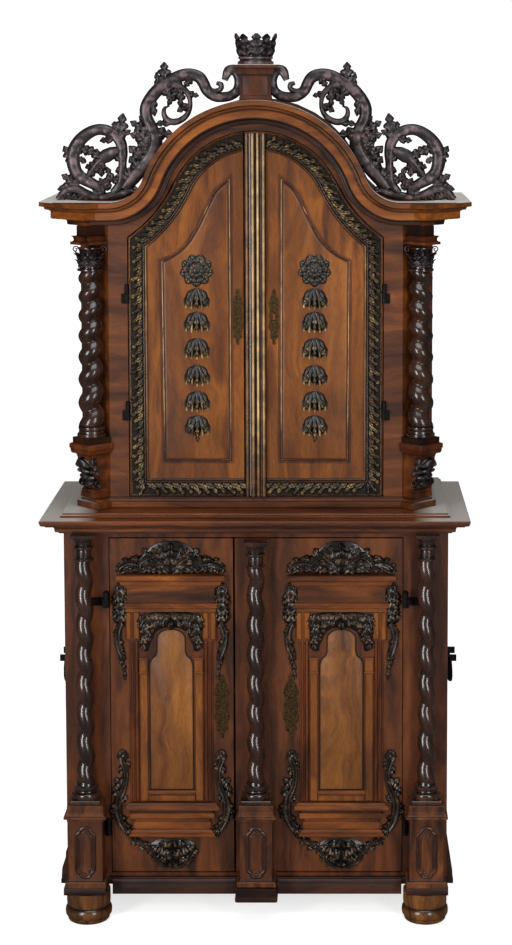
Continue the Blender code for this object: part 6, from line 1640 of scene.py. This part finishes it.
def seated(parts):
    """Flatten whatever would reach below the case's top edge."""
    return [([(x, y, max(z, roof_height(x) + 0.0005)) for x, y, z in v], faces, r) for v, faces, r in parts]


def two_faced(rows, depth):
    """Leaves carved on both faces of the crest."""
    front = sprays(rows, CREST_SHIFT, CREST_BASE, 0.0, depth, 0.0)
    back = [([(x, -y, z) for x, y, z in v], [tuple(reversed(f)) for f in faces], r) for v, faces, r in front]
    return [placed(part, Matrix.Translation((0, CREST_Y, 0))) for part in front + back]


crest_rows = [(points, [w * CREST_HEAVIER for w in widths]) for points, widths in [MAIN_SCROLL] + CREST_SCROLLS]
crest_parts = bands(crest_rows, CREST_SHIFT, CREST_BASE, CREST_Y, CREST_THICK, CREST_THICK, CREST_ROUND, CREST_FACETS)
crest_parts = seated(crest_parts + two_faced(CREST_SPRAYS, 0.0125))
for side, name in SIDES:
    lay(f"crest_carving_{name}", on_side(side, crest_parts), CARVED_CREST, "cabinet", (f"crest_{name}",))
print("scrolls and leaves in each half:", len(crest_rows), len(CREST_SPRAYS))

# %% [markdown]
# ## Crest block and crown
#
# The two halves of the crest meet at a square block with a moulded cap and a small raised
# panel. A turned cup stands on it and holds a ring of leaves, tall and short by turns, that
# lean outwards.

# %% Crest block and crown
CROWN_LEAVES, CROWN_SIZES, CROWN_SPIN = 10, ((0.0700, 0.052), (0.0560, 0.048)), 0.12
block_section = profile((0.0, 2.3178), (0.0015, 2.3180), (0.0015, 2.3260), ("hollow", 0.0, 2.3290),
                        (0.0, 2.3900), (0.0035, 2.3910), ("swell", 0.0070, 2.3985),
                        (0.0075, 2.4000), ("hollow", 0.0155, 2.4095), (0.0165, 2.4100),
                        (0.0165, 2.4175), (0.0155, 2.4188))
panel = layered(block_plan(-0.034, 0.034, 2.3340, 2.3860), [(0, -0.1284), (0, -0.1296), (0.001, -0.1300)])
lay("crest_block_body", [moulded(block_plan(-0.0435, 0.0435, -0.1285, -0.0415), block_section), panel],
    CASE_WALNUT, "cabinet", ("crest_block",))
cup = profile((0.0460, 2.4195), (0.0500, 2.4200), ("swell", 0.0505, 2.4270), (0.0455, 2.4285),
              ("hollow", 0.0440, 2.4330), (0.0480, 2.4345), ("swell", 0.0485, 2.4400), (0.0440, 2.4420),
              (0.0430, 2.4500), (0.0480, 2.4650), (0.0430, 2.4650), (0.0370, 2.4450),
              (0.0100, 2.4430))
crown_parts = [turned(cup, 0, CREST_Y, 40)]
for k in range(CROWN_LEAVES):
    long, wide = CROWN_SIZES[k % 2]
    spin = Matrix.Translation((0, CREST_Y, 0)) @ Matrix.Rotation(2 * pi * (k + CROWN_SPIN) / CROWN_LEAVES, 4, "Z")
    tilted = Matrix.Translation((0, -0.0400, 2.4400)) @ Matrix.Rotation(radians(10), 4, "X")
    crown_parts.append(placed(leaf(long, wide, 0.0110, 3, 0.10, root=0.95, blunt=0.55), spin @ tilted))
lay("crown_leaves", crown_parts, CARVED_CREST, "cabinet", ("crown",))
print("leaves in the crown:", CROWN_LEAVES)

# %% [markdown]
# ## Finishing touches
#
# The measured solids that stay visible get the same kind of finish as the new pieces.

SLOT_FINISH = {"walnut": MOULDING_WALNUT, "walnut_dark": CASE_WALNUT, "walnut_light": DOOR_WALNUT,
               "carving": CARVED_OLIVE, "ebonised": EBONISED, "inside_wood": INSIDE_WOOD, "iron": IRON,
               "brass": BRASS}
for item in bpy.data.objects:
    if item.type == "MESH":
        for slot in item.material_slots:
            if slot.material and slot.material.name.split(".")[0] in SLOT_FINISH:
                slot.material = SLOT_FINISH[slot.material.name.split(".")[0]]
                if item.name == "upper_carcase" and slot.material == CASE_WALNUT:
                    slot.material = ROOF_WALNUT
